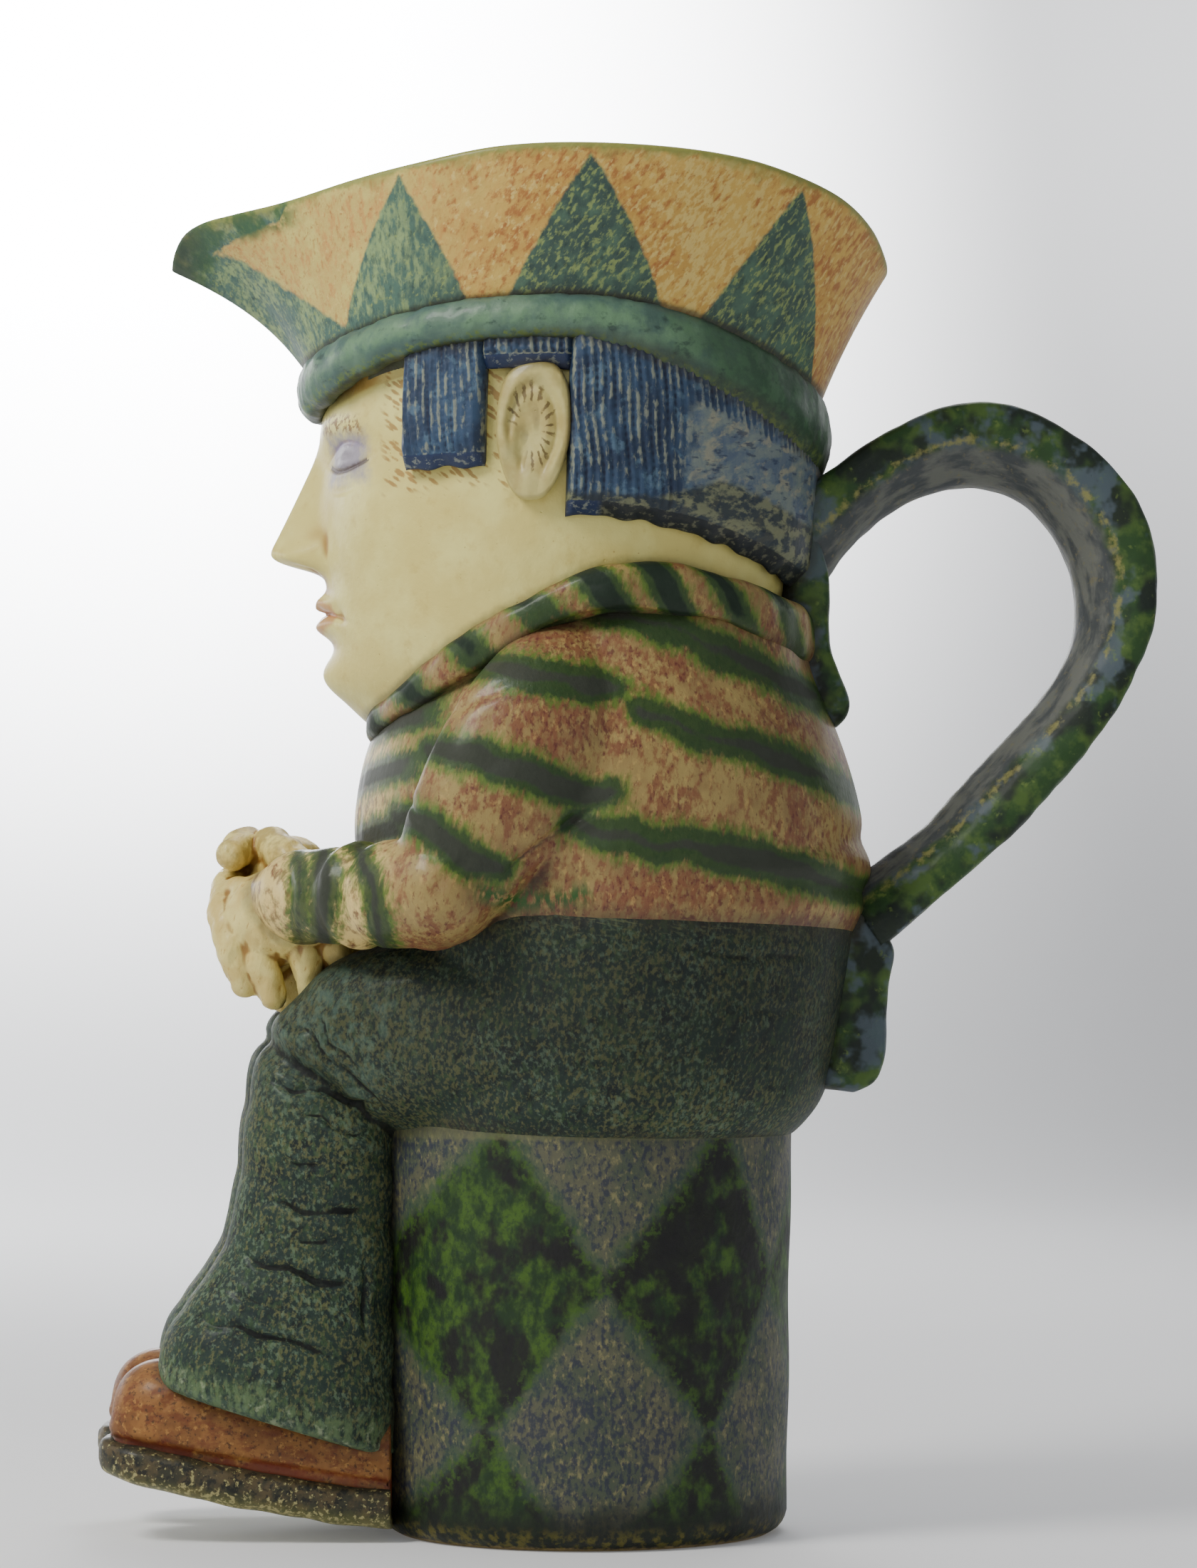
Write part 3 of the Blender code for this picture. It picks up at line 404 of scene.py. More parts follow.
def stool_glaze():
    """Harlequin: sap green diamonds with big soft purple-black patches, darkest at their corners and
    edges, on an olive-buff ground dusted with navy. The colours bleed softly into each other."""
    g = Glaze("stool glaze", 0.54, 0.05)
    dabs = g.cloud(1.05, 5, (1, 1, 1.5))
    ground = g.lay((86, 86, 68), (70, 77, 63), g.over(g.cloud(9), 0.4, 0.62))
    buff = g.over(g.cloud(1.2, 4, (1, 1, 1.5), shift=3.0), 0.52, 0.68, 0.75)
    ground = g.lay(ground, (128, 122, 82), buff)
    heavy = g.over(g.cloud(14, 3, shift=9.0), 0.38, 0.60)
    ground = g.lay(ground, (44, 48, 62), g.over(g.sum(dabs, g.times(heavy, 0.05)), 0.48, 0.64, 0.85))
    bled = g.edge("harlequin", 8.0, 3, 4)
    ground = g.lay(ground, (54, 76, 52), g.over(bled, -4.5, -0.5, 0.6))
    edge = g.ragged(g.edge("harlequin", 3.0, 2.2, 4), g.cloud(6.0, 3, shift=5.0), 4.5)
    green = g.lay((28, 50, 22), (62, 90, 28), g.over(g.cloud(3.4, 5, (1, 1, 1.4)), 0.40, 0.62))
    green = g.lay(green, (32, 52, 32), g.over(g.cloud(1.0, 4, shift=8.0), 0.50, 0.66, 0.6))
    patch = g.sum(g.cloud(8.5, 3, (1, 1, 1.3), shift=5.0), g.over(g.mark("harlequin"), 8.0, 0.0, 0.05))
    # Some diamonds carry more black patches: the potter's unevenness, and also painted shade on the
    # diamond turned from the lamp.
    patch = g.sum(patch, g.times(g.mark("patching_and_shade"), 0.07))
    patch = g.ragged(patch, g.cloud(0.8, 5, (1, 1, 1.5)), 0.12)
    green = g.lay(green, (21, 17, 21), g.over(patch, 0.50, 0.65, 0.93))
    g.shade = g.lay(ground, green, g.over(edge, -1.8, 1.4))
    fringe = g.over(g.cloud(1.5, 4, shift=2.0), 0.48, 0.62, 0.7)
    fringe = g.times(fringe, g.over(edge, -2.0, -0.4))
    g.paint((60, 88, 26), g.times(fringe, g.over(edge, 3.4, 0.6)))
    low = g.over(g.edge("height", 7.0, 5.0, 4), 12.0, 4.5)
    g.paint((18, 24, 17), g.times(low, 0.90))
    ochre = g.times(g.over(g.cloud(2.2, 5, shift=7.0), 0.46, 0.62), g.over(g.mark("height"), 5.5, 2.0))
    g.paint((96, 90, 32), g.times(ochre, 0.8))
    worn = g.over(g.edge("height", 1.4, 1.5), 0.9, 0.1)
    g.paint((150, 130, 84), worn)
    top = g.over(g.edge("height", 1.6, 2.0, 5), 79.2, 80.0, 0.5)
    g.paint((104, 106, 70), top)
    g.rise(dabs, 0.18)
    return g.fire()


def hat_glaze():
    """Ochre field, dabbed with rust and straw in short leaning strokes, under slate green peaks
    flecked with lime. Toward the beak it is paler and brushed upright. A zone a little behind the
    middle has fewer rust dabs and more straw, which is painted light. The rim broke to lime."""
    g = Glaze("hat glaze", 0.48)
    ahead = g.over(g.edge("forward", 26.0, 9, 4), 6, 46)
    # Painted light: a zone a little behind the middle, on both sides, gets fewer rust dabs and more straw,
    # so it is lighter where the lamp's light falls off.
    painted_light_behind = g.over(g.sum(g.sum(g.mark("forward"), 26), 0, "ABSOLUTE"), 18, 6)
    upright = g.cloud(1.4, 5, (1, 1, 3.8), (8, 0, 0), 1.0)
    dabs = g.cloud(1.3, 4, (1, 1, 2.2), (38, 0, 0))
    field = g.lay((202, 164, 82), (188, 146, 70), g.over(g.cloud(11), 0.38, 0.62))
    pale = g.lay((198, 176, 98), (196, 148, 82), g.over(upright, 0.44, 0.64))
    pale = g.lay(pale, (206, 196, 110), g.over(g.cloud(7, 4, (1, 1, 1.6), shift=3.0), 0.48, 0.62, 0.85))
    brushed = g.over(g.cloud(1.2, 5, (1, 1, 3.0), (8, 0, 0), 6.0), 0.54, 0.70, 0.7)
    pale = g.lay(pale, (172, 118, 62), brushed)
    field = g.lay(field, pale, g.times(ahead, 0.9))
    rust = g.sum(dabs, g.over(g.cloud(16, 3, shift=6.0), 0.38, 0.60, 0.04))
    rust = g.sum(rust, g.sum(g.times(ahead, -0.12), g.times(painted_light_behind, -0.08)))
    field = g.lay(field, (156, 92, 50), g.over(rust, 0.46, 0.66, 0.8))
    straw = g.sum(g.cloud(1.1, 4, (1, 1, 2.0), (38, 0, 0), 4.0), g.times(ahead, -0.06))
    straw = g.sum(straw, g.times(painted_light_behind, 0.08))
    field = g.lay(field, (212, 188, 110), g.over(straw, 0.52, 0.66, 0.8))
    fine = g.sum(g.cloud(0.7, 3, shift=9.0), g.times(ahead, -0.1))
    field = g.lay(field, (112, 72, 46), g.over(fine, 0.64, 0.74, 0.6))
    green = g.lay((58, 78, 70), (74, 100, 82), g.over(g.cloud(5.0, 4), 0.42, 0.62))
    milky = g.sum(upright, g.over(g.cloud(9, 3, shift=7.0), 0.38, 0.62, 0.16))
    milky = g.lay((76, 106, 94), (140, 162, 108), g.over(milky, 0.50, 0.74))
    slate = g.over(g.cloud(1.0, 5, (1, 1, 3.4), (8, 0, 0), 3.0), 0.50, 0.66, 0.7)
    milky = g.lay(milky, (58, 80, 76), slate)
    green = g.lay(green, milky, g.times(g.over(g.edge("forward", 26.0, 3, 5), 10, 44), 0.9))
    flecks = g.sum(g.cloud(0.95, 4, (1, 1, 2.2), (38, 0, 0), 7.0), g.times(ahead, -0.08))
    green = g.lay(green, (138, 154, 88), g.over(flecks, 0.49, 0.63, 0.78))
    dark = g.sum(g.cloud(1.6, 4, (1, 1, 2.0), (24, 0, 0), 2.0), g.times(ahead, -0.05))
    green = g.lay(green, (34, 50, 49), g.over(dark, 0.54, 0.70, 0.62))
    edge = g.edge("peaks", 1.5, 2.2, 4)
    g.shade = g.lay(field, green, g.over(edge, -0.4, 0.4))
    rim = g.over(g.edge("below_rim", 2.4, 3.0, 4), 1.5, 0.4)
    g.paint((112, 128, 62), g.times(rim, 0.85))
    near = g.over(g.edge("below_rim", 9.0, 6.0, 4), 2.6, 0.6, 0.5)
    g.paint((142, 140, 72), near)
    brushed = g.over(g.edge("below_rim", 3.0, 4, 4), 6.0, 3.4)
    brushed = g.times(g.over(g.mark("forward"), 54, 60), brushed)
    brushed = g.times(brushed, g.over(g.cloud(6, 4, shift=2.0), 0.38, 0.54, 0.8))
    g.paint((50, 86, 50), brushed)
    tip = g.over(g.edge("forward", 7.0, 3, 4), 75, 82, 0.75)
    g.paint((54, 66, 58), tip)
    foot = g.over(g.edge("over_band", 1.6, 1.6, 4), 1.2, 0.2)
    g.paint((50, 48, 34), g.times(foot, 0.6))
    g.rise(dabs, 0.14)
    return g.fire()


def lining_glaze():
    """Thin honey glaze inside, streaked where it ran, with green run over from the rim."""
    g = Glaze("lining glaze", 0.32)
    g.shade = g.lay((196, 170, 118), (176, 142, 88), g.over(g.cloud(14, 4, (1, 1, 3)), 0.38, 0.62))
    g.paint((146, 108, 66), g.over(g.cloud(2.2, 4, (1, 1, 4)), 0.60, 0.74, 0.6))
    run = g.over(g.edge("below_rim", 14.0, 5, 4, (1, 1, 5)), 7.0, 1.0)
    g.paint((92, 112, 66), g.times(run, 0.85))
    return g.fire()


def bare_clay():
    """The underside, wiped clean of glaze and ground flat: buff clay with grog and brown stains."""
    g = Glaze("bare clay", 0.78, 0.0)
    g.shade = g.lay((196, 172, 132), (178, 148, 108), g.over(g.cloud(8, 4), 0.40, 0.62))
    g.paint((120, 88, 62), g.over(g.spots(1.8), 0.16, 0.06, 0.8))
    g.paint((150, 118, 80), g.over(g.cloud(1.0, 3), 0.60, 0.72, 0.6))
    return g.fire()


a = turn(300)
rings, starts = pot_rings(a)
points, faces = closed(rings)
spin = np.concatenate([np.tile(a, len(rings)), [0, 0]])
x, y, z = points.T
side = (z > 2 * MM) & (z < SEAT + 2 * MM) & (np.hypot(x, y) > STOOL_RADIUS - 2 * MM)
ends = np.clip((SEAT - z) / (20 * MM), 0, 1) * np.clip(z / (20 * MM), 0, 1)
points[:, :2] *= 1 + (side * 0.005 * sway(points, 34 * MM, 4) * ends)[:, None]
# Diamonds: one less the shares of the way out across and up, times the way from middle to edge.
# They were drawn by eye, so their turns are uneven and lean a little.
slice_width = 2 * math.pi / DIAMONDS
turned = np.degrees(np.angle(np.exp(1j * spin))) - 2.2 * (z - DIAMOND_MIDDLE) / DIAMOND_HALF
even = [-190, -68.5, -32.5, 3.5, 39.5, 75.5, 170]
drawn = np.radians(through([-190, -73.5, -25, 5.6, 38.2, 62, 170], even, turned))
number = (drawn - DIAMOND_TURN) / slice_width
across = np.abs(number % 1 - 0.5) * 2
up = np.abs(((z - DIAMOND_MIDDLE) / (2 * DIAMOND_HALF) + 0.5) % 1 - 0.5) * 2
harlequin = (1 - across - up) * DIAMOND_EDGE
# Peaks: the smaller distance in from a peak's two slanted edges, the largest over the peaks. The
# beak is green below one slanting curve and above another, both seen from the side.
backward = np.degrees(np.arcsin(np.clip(np.sin(spin), -1, 1)))
top, bottom = hat_edges(spin)
foot = (top + bottom) / 2
height = (z - SEAT) / MM
rim_height = (hat_wall(a, 1.0)[:, 2] - SEAT) / MM
rim_height = np.concatenate([np.tile(rim_height, len(rings)), [180, 180]])
share = (height - foot) / (rim_height - foot) / 0.95
peaks = np.full(len(points), -50.0)
for left, tip, right in HAT_PEAKS:
    inside = np.minimum(
        backward - left - (tip - left) * share, right + (tip - right) * share - backward
    )
    peaks = np.maximum(peaks, inside * 0.82)
y_mm = y / MM
run = y_mm + 76.5
lower = 176.1 - 0.6226 * run + 3.0 * np.clip(run / 9, 0, 9) * np.exp(1 - np.clip(run / 9, 0, 9))
upper = 176.1 + 0.30 * run - 0.003 * run**2 + 1.6 * np.clip(run - 16, 0, None)
beak = np.minimum((height - lower) * 0.85, (upper - height) * 0.9)
peaks = np.where((y_mm < -44) & (beak < 60), np.maximum(peaks, -beak), peaks)
marks = {
    "harlequin": harlequin,
    "height": z / MM,
    "peaks": peaks,
    "below_rim": rim_height - height,
    "over_band": height - top,
    "forward": -y_mm,
    # How heavily each diamond is patched with black. The heaviest, 1.5, is the diamond at the figure's
    # left back, which faces away from the lamp: partly the potter's unevenness, partly painted shade.
    "patching_and_shade": np.take([1.5, 0.5, 0.9, 0.4, 0.35], np.floor(number).astype(int) % DIAMONDS),
}
pot = piece("pot", points, faces, [bare_clay(), stool_glaze(), hat_glaze(), lining_glaze()], marks)
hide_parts("jug")
# Each face's glaze goes by its row: the underside, the stool, the hat and the inside.
row = faces.min(1) // len(a)
region = np.searchsorted(starts - 1, row, side="right")
region[row >= len(rings)] = 3
region[(faces >= len(rings) * len(a)).any(1)] = 3
region[(faces == len(rings) * len(a)).any(1)] = 0
pot.data.polygons.foreach_set("material_index", region.astype(np.int32))


# The trousers
# Slabs and rolls of the same clay, pressed on over the stool's top. The legs hang before the stool
# with flared, turned-out cuffs. The folds were modelled, then cut deeper with a tool.

SEAT_OVERHANG = 8 * MM
LEG_WIDTH = 26 * MM
LEG_GAP = 1.0 * MM
FAR_LEG_LEAD = 3 * MM


def moved(points, faces, out):
    """Points moved along their normals, out by a number of millimetres at each."""
    return points + outward(points, faces) * out[:, None] * MM


def together(surfaces):
    """Several surfaces as one: points, faces, and the number of the first point of each."""
    start = np.cumsum([0] + [len(surface[0]) for surface in surfaces])
    faces = np.concatenate([surface[1] + first for surface, first in zip(surfaces, start)])
    return np.concatenate([surface[0] for surface in surfaces]), faces, start


def squared(v, power):
    """A sine or cosine brought nearer to a square's: its size to a power under one."""
    return np.sign(v) * np.abs(v) ** power


def oval_rings(table, steps, sides):
    """Level ovals through a table of heights, fronts, backs and half widths, in millimetres."""
    z, front, back, wide = np.array(table, float).T
    at = np.linspace(z[0], z[-1], steps)
    front, back, wide = (through(z, v, at)[:, None] for v in (front, back, wide))
    a = turn(sides)
    rings = [wide * np.cos(a), (front + back) / 2 + (back - front) / 2 * np.sin(a), at[:, None] + 0 * a]
    return np.stack(rings, -1) * MM + [0, 0, SEAT]


def sleeve(rings):
    """A surface closed round the hollow: the rings outside, then back down the body's inner wall."""
    inner = on_wall(rings[::-3])
    return closed(np.concatenate([on_wall(rings, only_inside=True), inner]), wrap=True)


def outside(rings):
    """A closed surface whose points inside the hollow, end points too, are moved into the wall."""
    points, faces = closed(rings)
    return on_wall(points, only_inside=True), faces


def limb(rows, sides, steps, side=1, square=1.0, folds=None):
    """Ovals hung between two outlines seen from the side. Each row is outer y, outer z, inner y,
    inner z, half width and middle x. folds gives how far the cloth stands out, from the shares
    along the limb and across it."""
    rows = np.array(rows, float)
    share = np.linspace(0, 1, steps)
    knots = np.arange(len(rows))
    out_y, out_z, in_y, in_z, wide, x = through(knots, rows, share * knots[-1]).T[:, :, None]
    a = turn(sides)
    across, along = squared(np.cos(a), square), squared(np.sin(a), square)
    proud = np.zeros((steps, sides)) if folds is None else folds(share[:, None], (1 - along) / 2)
    grow = 1 + proud / (np.hypot(out_y - in_y, out_z - in_z) / 2)
    y = (out_y + in_y) / 2 + (out_y - in_y) / 2 * along * grow
    z = (out_z + in_z) / 2 + (out_z - in_z) / 2 * along * grow
    return np.stack([side * (x + (wide + proud) * across), y, z], -1)


def fused(shells, grain, painted_light_behind):
    """One skin over several closed surfaces, as pressed clay: their joint outside is found on a
    grid of this grain, and then calmed by moving points towards their neighbours."""
    points, faces, _ = together(shells)
    mesh = bpy.data.meshes.new("pressing")
    mesh.from_pydata(points.tolist(), [], faces.tolist())
    press = bpy.data.objects.new("pressing", mesh)
    bpy.context.scene.collection.objects.link(press)
    remesh = press.modifiers.new("press", "REMESH")
    remesh.mode = "VOXEL"
    remesh.voxel_size = grain
    graph = bpy.context.evaluated_depsgraph_get()
    found = press.evaluated_get(graph).to_mesh()
    found.calc_loop_triangles()
    co = np.empty(len(found.vertices) * 3, np.float32)
    found.vertices.foreach_get("co", co)
    tri = np.empty(len(found.loop_triangles) * 3, np.int32)
    found.loop_triangles.foreach_get("vertices", tri)
    press.evaluated_get(graph).to_mesh_clear()
    bpy.data.objects.remove(press)
    bpy.data.meshes.remove(mesh)
    points, faces = co.reshape(-1, 3).astype(float), tri.reshape(-1, 3)
    for _ in range(painted_light_behind):
        points = points + 0.55 * (softened(points, faces, 1) - points)
        points = points - 0.50 * (softened(points, faces, 1) - points)
    return softened(points, faces, 1), faces


def line_gap(points, line):
    """The distance in side view from points to a line of (y, z) stations, and the share along it."""
    line = np.array(line, float) * MM
    gap = np.full(len(points), 1.0)
    along = np.zeros(len(points))
    seen = points[:, 1:] - [0, SEAT] + 0.55 * MM * sway(points, 9 * MM, 5)[:, None]
    for i, (start, end) in enumerate(zip(line[:-1], line[1:])):
        way = end - start
        t = np.clip(((seen - start) @ way) / (way @ way), 0, 1)
        near = np.linalg.norm(seen - start - t[:, None] * way, axis=1)
        along = np.where(near < gap, (i + t) / (len(line) - 1), along)
        gap = np.minimum(gap, near)
    return gap / MM, along


def score(points, faces, lines):
    """Points pushed in along tooled lines and swollen beside them. Each line is a depth, a width,
    the least and greatest distance from the middle plane, and its stations in side view."""
    move = np.zeros(len(points))
    for depth, width, least, most, line in lines:
        gap, along = line_gap(points, line)
        x = np.abs(points[:, 0]) / MM
        here = np.clip((x - least) / 2.0, 0, 1) * np.clip((most - x) / 2.0, 0, 1)
        here = here * np.clip(np.minimum(along, 1 - along) * 3.2 + 0.1, 0, 1)
        here = here * (0.8 + 0.35 * sway(points, 7 * MM, 11))
        move = move + here * depth * (0.30 * bump(gap - 2.2 * width, 1.6 * width) - bump(gap, width))
    return moved(points, faces, move)


rim = (STOOL_RADIUS + STOOL_FLARE) / MM
wide = rim + SEAT_OVERHANG / MM
# Heights, fronts, backs and half widths of the seat of the trousers.
seat_table = [
    (-1.8, -rim + 2, rim - 0.5, rim - 1), (0.5, -rim + 1, rim + 2.0, rim + 1),
    (5, -rim, rim + 5.5, rim + 3.5), (12, -rim, wide, wide - 3), (22, -rim, wide + 2, wide - 0.5),
    (34, -rim - 0.5, wide + 4, wide), (42, -rim - 1, wide + 5, wide), (45, -rim, wide + 4, wide - 1),
]
shells = [sleeve(oval_rings(seat_table, 44, 160))]


def knee_folds(share, across):
    """A swell at the knee, less a crease that deepens towards the inside of the bend."""
    return 0.9 * bump(share - 0.86, 0.11) - 0.7 * across * bump(share - 0.70, 0.035)


def leg_folds(share, across):
    """Soft rolls round the leg, each a narrow valley and a wide hill, that lean down to the back."""
    t = share - 0.05 * across
    out = 0
    for at, depth in ((0.20, 1.5), (0.34, 1.1), (0.49, 1.2), (0.65, 1.3), (0.82, 1.2)):
        out = out - depth * bump(t - at, 0.022) + 0.5 * depth * bump(t - at - 0.06, 0.04)
    return out * (0.26 + 0.24 * across)


seat_z = SEAT / MM
leg = LEG_WIDTH / MM
for side in (1, -1):
    lead = np.array([0, -FAR_LEG_LEAD if side < 0 else 0, 0])
    ahead = -(STOOL_RADIUS / MM + 0.5)
    thigh = [
        (4, 40.3, 4, 1, 22.5, 22.5), (-8, 40.5, -6, 0, 23.5, 23.6), (-24, 40, -18, -1, 21.8, 21.8),
        (-38, 37.5, -28, -1, 19, 19), (-50, 33, -35, -0.5, 16.4, 16.8), (-57.2, 26, -38, 0, 14.5, 15),
        (-61.6, 20, -39, 1.5, 12, 14), (-60.5, 15, -41, 4, 8, 14),
    ]
    thigh = [(oy, oz + seat_z, iy, iz + seat_z, w, x) for oy, oz, iy, iz, w, x in thigh]
    # Of the lower leg: the outer line's height, as a share of the seat's, and its way out from the
    # stool, the inner line's drop below it, and the half width, as a share of the leg's width.
    shin = [
        (1.26, -14, 0.24, 0.36), (1.19, -23.0, 0.19, 0.46), (1.08, -25.2, 0.13, 0.51),
        (0.98, -26.2, 0.08, 0.51), (0.87, -27.2, 0.08, 0.50), (0.76, -29.0, 0.09, 0.51),
        (0.66, -32.5, 0.11, 0.54), (0.57, -38.0, 0.13, 0.58), (0.50, -41.3, 0.15, 0.61),
        (0.43, -43.0, 0.16, 0.62), (0.38, -42.5, 0.16, 0.61), (0.365, -38.0, 0.165, 0.55),
    ]
    shin = [
        (ahead + out, up * seat_z, ahead + 4, (up - drop) * seat_z, h * leg, LEG_GAP / 2 / MM + h * leg)
        for up, out, drop, h in shin
    ]
    thigh_rings = limb(thigh, 90, 90, 1, 0.88, knee_folds) * MM + lead
    # Inside the body the thigh keeps to its own side of the hollow.
    buried = np.clip((thigh_rings[..., 1] + 40 * MM) / (6 * MM), 0, 1)
    thigh_rings[..., 0] = np.maximum(thigh_rings[..., 0], 24 * MM * buried)
    thigh_rings[..., 0] *= side
    leg_rings = limb(shin, 90, 150, side, 0.85, leg_folds) * MM + lead
    shells += [outside(thigh_rings), closed(leg_rings)]
points, faces = fused(shells, 0.96 * MM, 2)
creases = [
    (1.2, 0.6, 8, 70, [(-59.5, 22.5), (-54.0, 18.4), (-48.0, 12.6), (-42.0, 7.2), (-37.4, 1.5)]),
    (0.8, 0.55, 8, 70, [(-52.5, 24.0), (-50.4, 18.2), (-46.2, 13.8), (-41.5, 10.0)]),
    (1.0, 0.6, 10, 70, [(-64.0, 9.4), (-56.0, 8.4), (-47.5, 6.6), (-38.4, 3.4)]),
    (0.8, 0.6, 10, 70, [(-60.0, 3.0), (-52.0, 2.2), (-45.0, -0.6), (-39.5, -3.0)]),
    (0.9, 0.6, 10, 70, [(-62.0, -5.0), (-54.0, -6.4), (-47.0, -6.8), (-40.5, -5.6)]),
    (1.2, 0.7, 10, 70, [(-65.0, -13.0), (-57.0, -15.6), (-49.0, -16.2), (-41.0, -15.2)]),
    (0.7, 0.6, 10, 70, [(-59.0, -20.6), (-51.0, -22.0), (-43.5, -21.2)]),
    (1.2, 0.7, 10, 70, [(-68.0, -23.6), (-59.0, -27.4), (-51.0, -29.6), (-43.0, -31.4)]),
    (1.1, 0.7, 10, 70, [(-76.0, -36.0), (-65.0, -39.4), (-54.0, -42.0), (-44.5, -45.4)]),
    (0.7, 0.6, 10, 70, [(-70.0, -31.6), (-62.0, -34.0), (-54.5, -35.0)]),
    (0.9, 0.6, 12, 70, [(-42.6, -25.0), (-43.2, -33.0), (-42.4, -43.0)]),
    (0.5, 0.9, 20, 70, [(-30, 13), (-14, 17), (4, 16)]),
    (0.4, 0.9, 20, 70, [(-22, 3), (-2, 8), (20, 7)]),
    (0.4, 0.9, 20, 70, [(24, 27), (36, 23), (48, 25)]),
    (0.5, 0.8, 0, 70, [(12, 37), (30, 34), (52, 34)]),
]
points = score(points, faces, creases)
waist = np.clip((points[:, 2] - SEAT) / MM - 34, 0, 6) / 6
level = points * [1, 1, 0]
points[:, 2] += waist * (0.9 * sway(level, 24 * MM, 21) + 0.4 * sway(level, 8 * MM, 22)) * MM
mm = points / MM - [0, 0, seat_z]
cuff = np.interp(-mm[:, 1], [40, 45, 57, 66, 77, 83, 95], [-59, -58, -55.2, -50.5, -49.2, -46.5, -46])
marks = {
    "cuff": mm[:, 2] - cuff,
    "waist": 43.5 - mm[:, 2],
    "knee": np.hypot(mm[:, 1] + 50, mm[:, 2] - 20),
}


def trouser_glaze():
    """Dark teal under a dry dusting of ochre, olive and pale slip that took on the high places. It
    thins to milky teal on the knees and fold lips, and pools nearly black in the creases."""
    g = Glaze("trouser glaze", 0.66, 0.05)
    g.shade = g.lay((29, 43, 40), (41, 56, 48), g.over(g.cloud(9), 0.38, 0.62))
    g.paint((18, 24, 26), g.over(g.cloud(3.2, 4, (1, 1, 1.8), (35, 0, 0)), 0.50, 0.68, 0.8))
    zone = g.over(g.cloud(17, 3, shift=2.0), 0.38, 0.60)
    specks = g.cloud(0.72, 4, (1, 1.2, 1.6), (12, 0, 0), 3.0)
    dust = g.sum(specks, g.sum(g.times(zone, 0.07), g.over(g.mark("knee"), 40, 10, 0.03)))
    g.paint((103, 104, 64), g.over(dust, 0.52, 0.68, 0.68))
    g.paint((56, 76, 48), g.over(g.cloud(1.3, 4, (1, 1, 1.8), shift=6.0), 0.52, 0.66, 0.75))
    pale = g.cloud(0.7, 4, (1, 1.4, 1.9), (-12, 0, 0), 9.0)
    pale = g.sum(pale, g.over(g.cloud(13, 3, shift=4.0), 0.45, 0.62, 0.09))
    g.paint((100, 120, 94), g.over(pale, 0.57, 0.72, 0.56))
    g.paint((16, 21, 16), g.over(g.edge("waist", 12.0, 7, 4), 52, 20, 0.46))
    knee = g.times(g.over(g.mark("knee"), 24, 6), g.over(g.cloud(3.0, 5, shift=1.0), 0.44, 0.62))
    g.paint((80, 102, 88), g.times(knee, 0.48))
    lip = g.over(g.edge("hollow", 0.90, 1.0, 5), -0.20, -0.60, 0.26)
    g.paint((94, 116, 98), lip)
    g.paint((8, 12, 11), g.over(g.edge("hollow", 0.3, 1.2, 4), 0.12, 0.38, 0.9))
    cuff_lip = g.over(g.edge("cuff", 7.0, 3.4, 5), 4.2, 0.4)
    cuff_lip = g.times(cuff_lip, g.over(g.cloud(1.2, 5, (1, 1, 2), shift=5.0), 0.40, 0.60))
    g.paint((96, 116, 78), g.times(cuff_lip, 0.66))
    frost = g.times(g.over(g.mark("cuff"), 3.0, 0.6), g.over(g.cloud(2.4, 5, shift=8.0), 0.55, 0.70, 0.7))
    g.paint((142, 152, 120), frost)
    scratch = g.cloud(0.7, 3, (1, 9, 1), (8, 0, 0))
    waist = g.over(g.mark("waist"), 8.0, 1.0)
    g.paint((88, 94, 62), g.times(g.over(scratch, 0.54, 0.64, 0.8), waist))
    g.rise(specks, 0.14)
    return g.fire()


piece("trousers", points, faces, [trouser_glaze()], marks, 7)


# The shoes
# Stubby toe-up shoes pushed under the cuffs, each a thick slab sole with a rounded upper over it.
# The seam between was scored all round.

SOLE_THICKNESS = 9 * MM
TOE_SPRING = 12.5 * MM
HEEL_LIFT = 2.2 * MM
SHOE_LENGTH = 58.1 * MM


def shoe_rows(side, sole):
    """The shoe's outlines from heel to toe: an underside that rises by a power of the share along
    it, and a top over it by the sole's thickness or the upper's."""
    lead = -FAR_LEG_LEAD if side < 0 else 0.0
    share = np.array([0, 0.12, 0.35, 0.6, 0.8, 0.91, 0.975, 1.0])
    width = np.array([0.9, 0.98, 1.02, 1.06, 1.02, 0.86, 0.6, 0.25]) * LEG_WIDTH / 2
    under = HEEL_LIFT + (TOE_SPRING - HEEL_LIFT) * share**1.3
    y = -(STOOL_RADIUS - 3 * MM) - share * SHOE_LENGTH + lead * share
    thick = SOLE_THICKNESS * np.array([1, 1, 1, 1, 0.97, 0.9, 0.75, 0.4])
    low = under + 0.5 * (SOLE_THICKNESS - thick)
    x = LEG_WIDTH / 2 + LEG_GAP / 2 + 0.4 * MM + 0 * y
    if sole:
        return np.stack([y, low + thick, y, low, width, x], -1)
    top = low + thick + np.array([14, 14, 15, 16.5, 16.5, 14, 9.5, 2.5]) * MM
    back = y + 2 * MM * share
    return np.stack([back, top, back, low + 0.4 * thick, width * 0.93, x], -1)


def pair(make):
    """The left and the right surface as one."""
    return together([make(1), make(-1)])[:2]


def leather_glaze():
    """Orange-brown, stippled with dark iron and rust, rust-red here and there over the sole."""
    g = Glaze("shoe glaze", 0.52, 0.08)
    g.shade = g.lay((140, 96, 50), (114, 74, 38), g.over(g.cloud(8), 0.38, 0.62))
    g.paint((104, 56, 30), g.over(g.cloud(2.6, 4, (1, 1.6, 1)), 0.47, 0.62, 0.8))
    g.paint((172, 126, 66), g.over(g.cloud(1.3, 4, shift=5.0), 0.56, 0.68, 0.7))
    g.paint((58, 38, 24), g.over(g.cloud(0.9, 5, shift=8.0), 0.54, 0.66, 0.75))
    seam = g.over(g.edge("over_seam", 3.4, 2.6, 4), 2.2, 0.4)
    g.paint((112, 40, 22), g.times(seam, g.over(g.cloud(6, 3, shift=2.0), 0.36, 0.56, 0.7)))
    return g.fire()


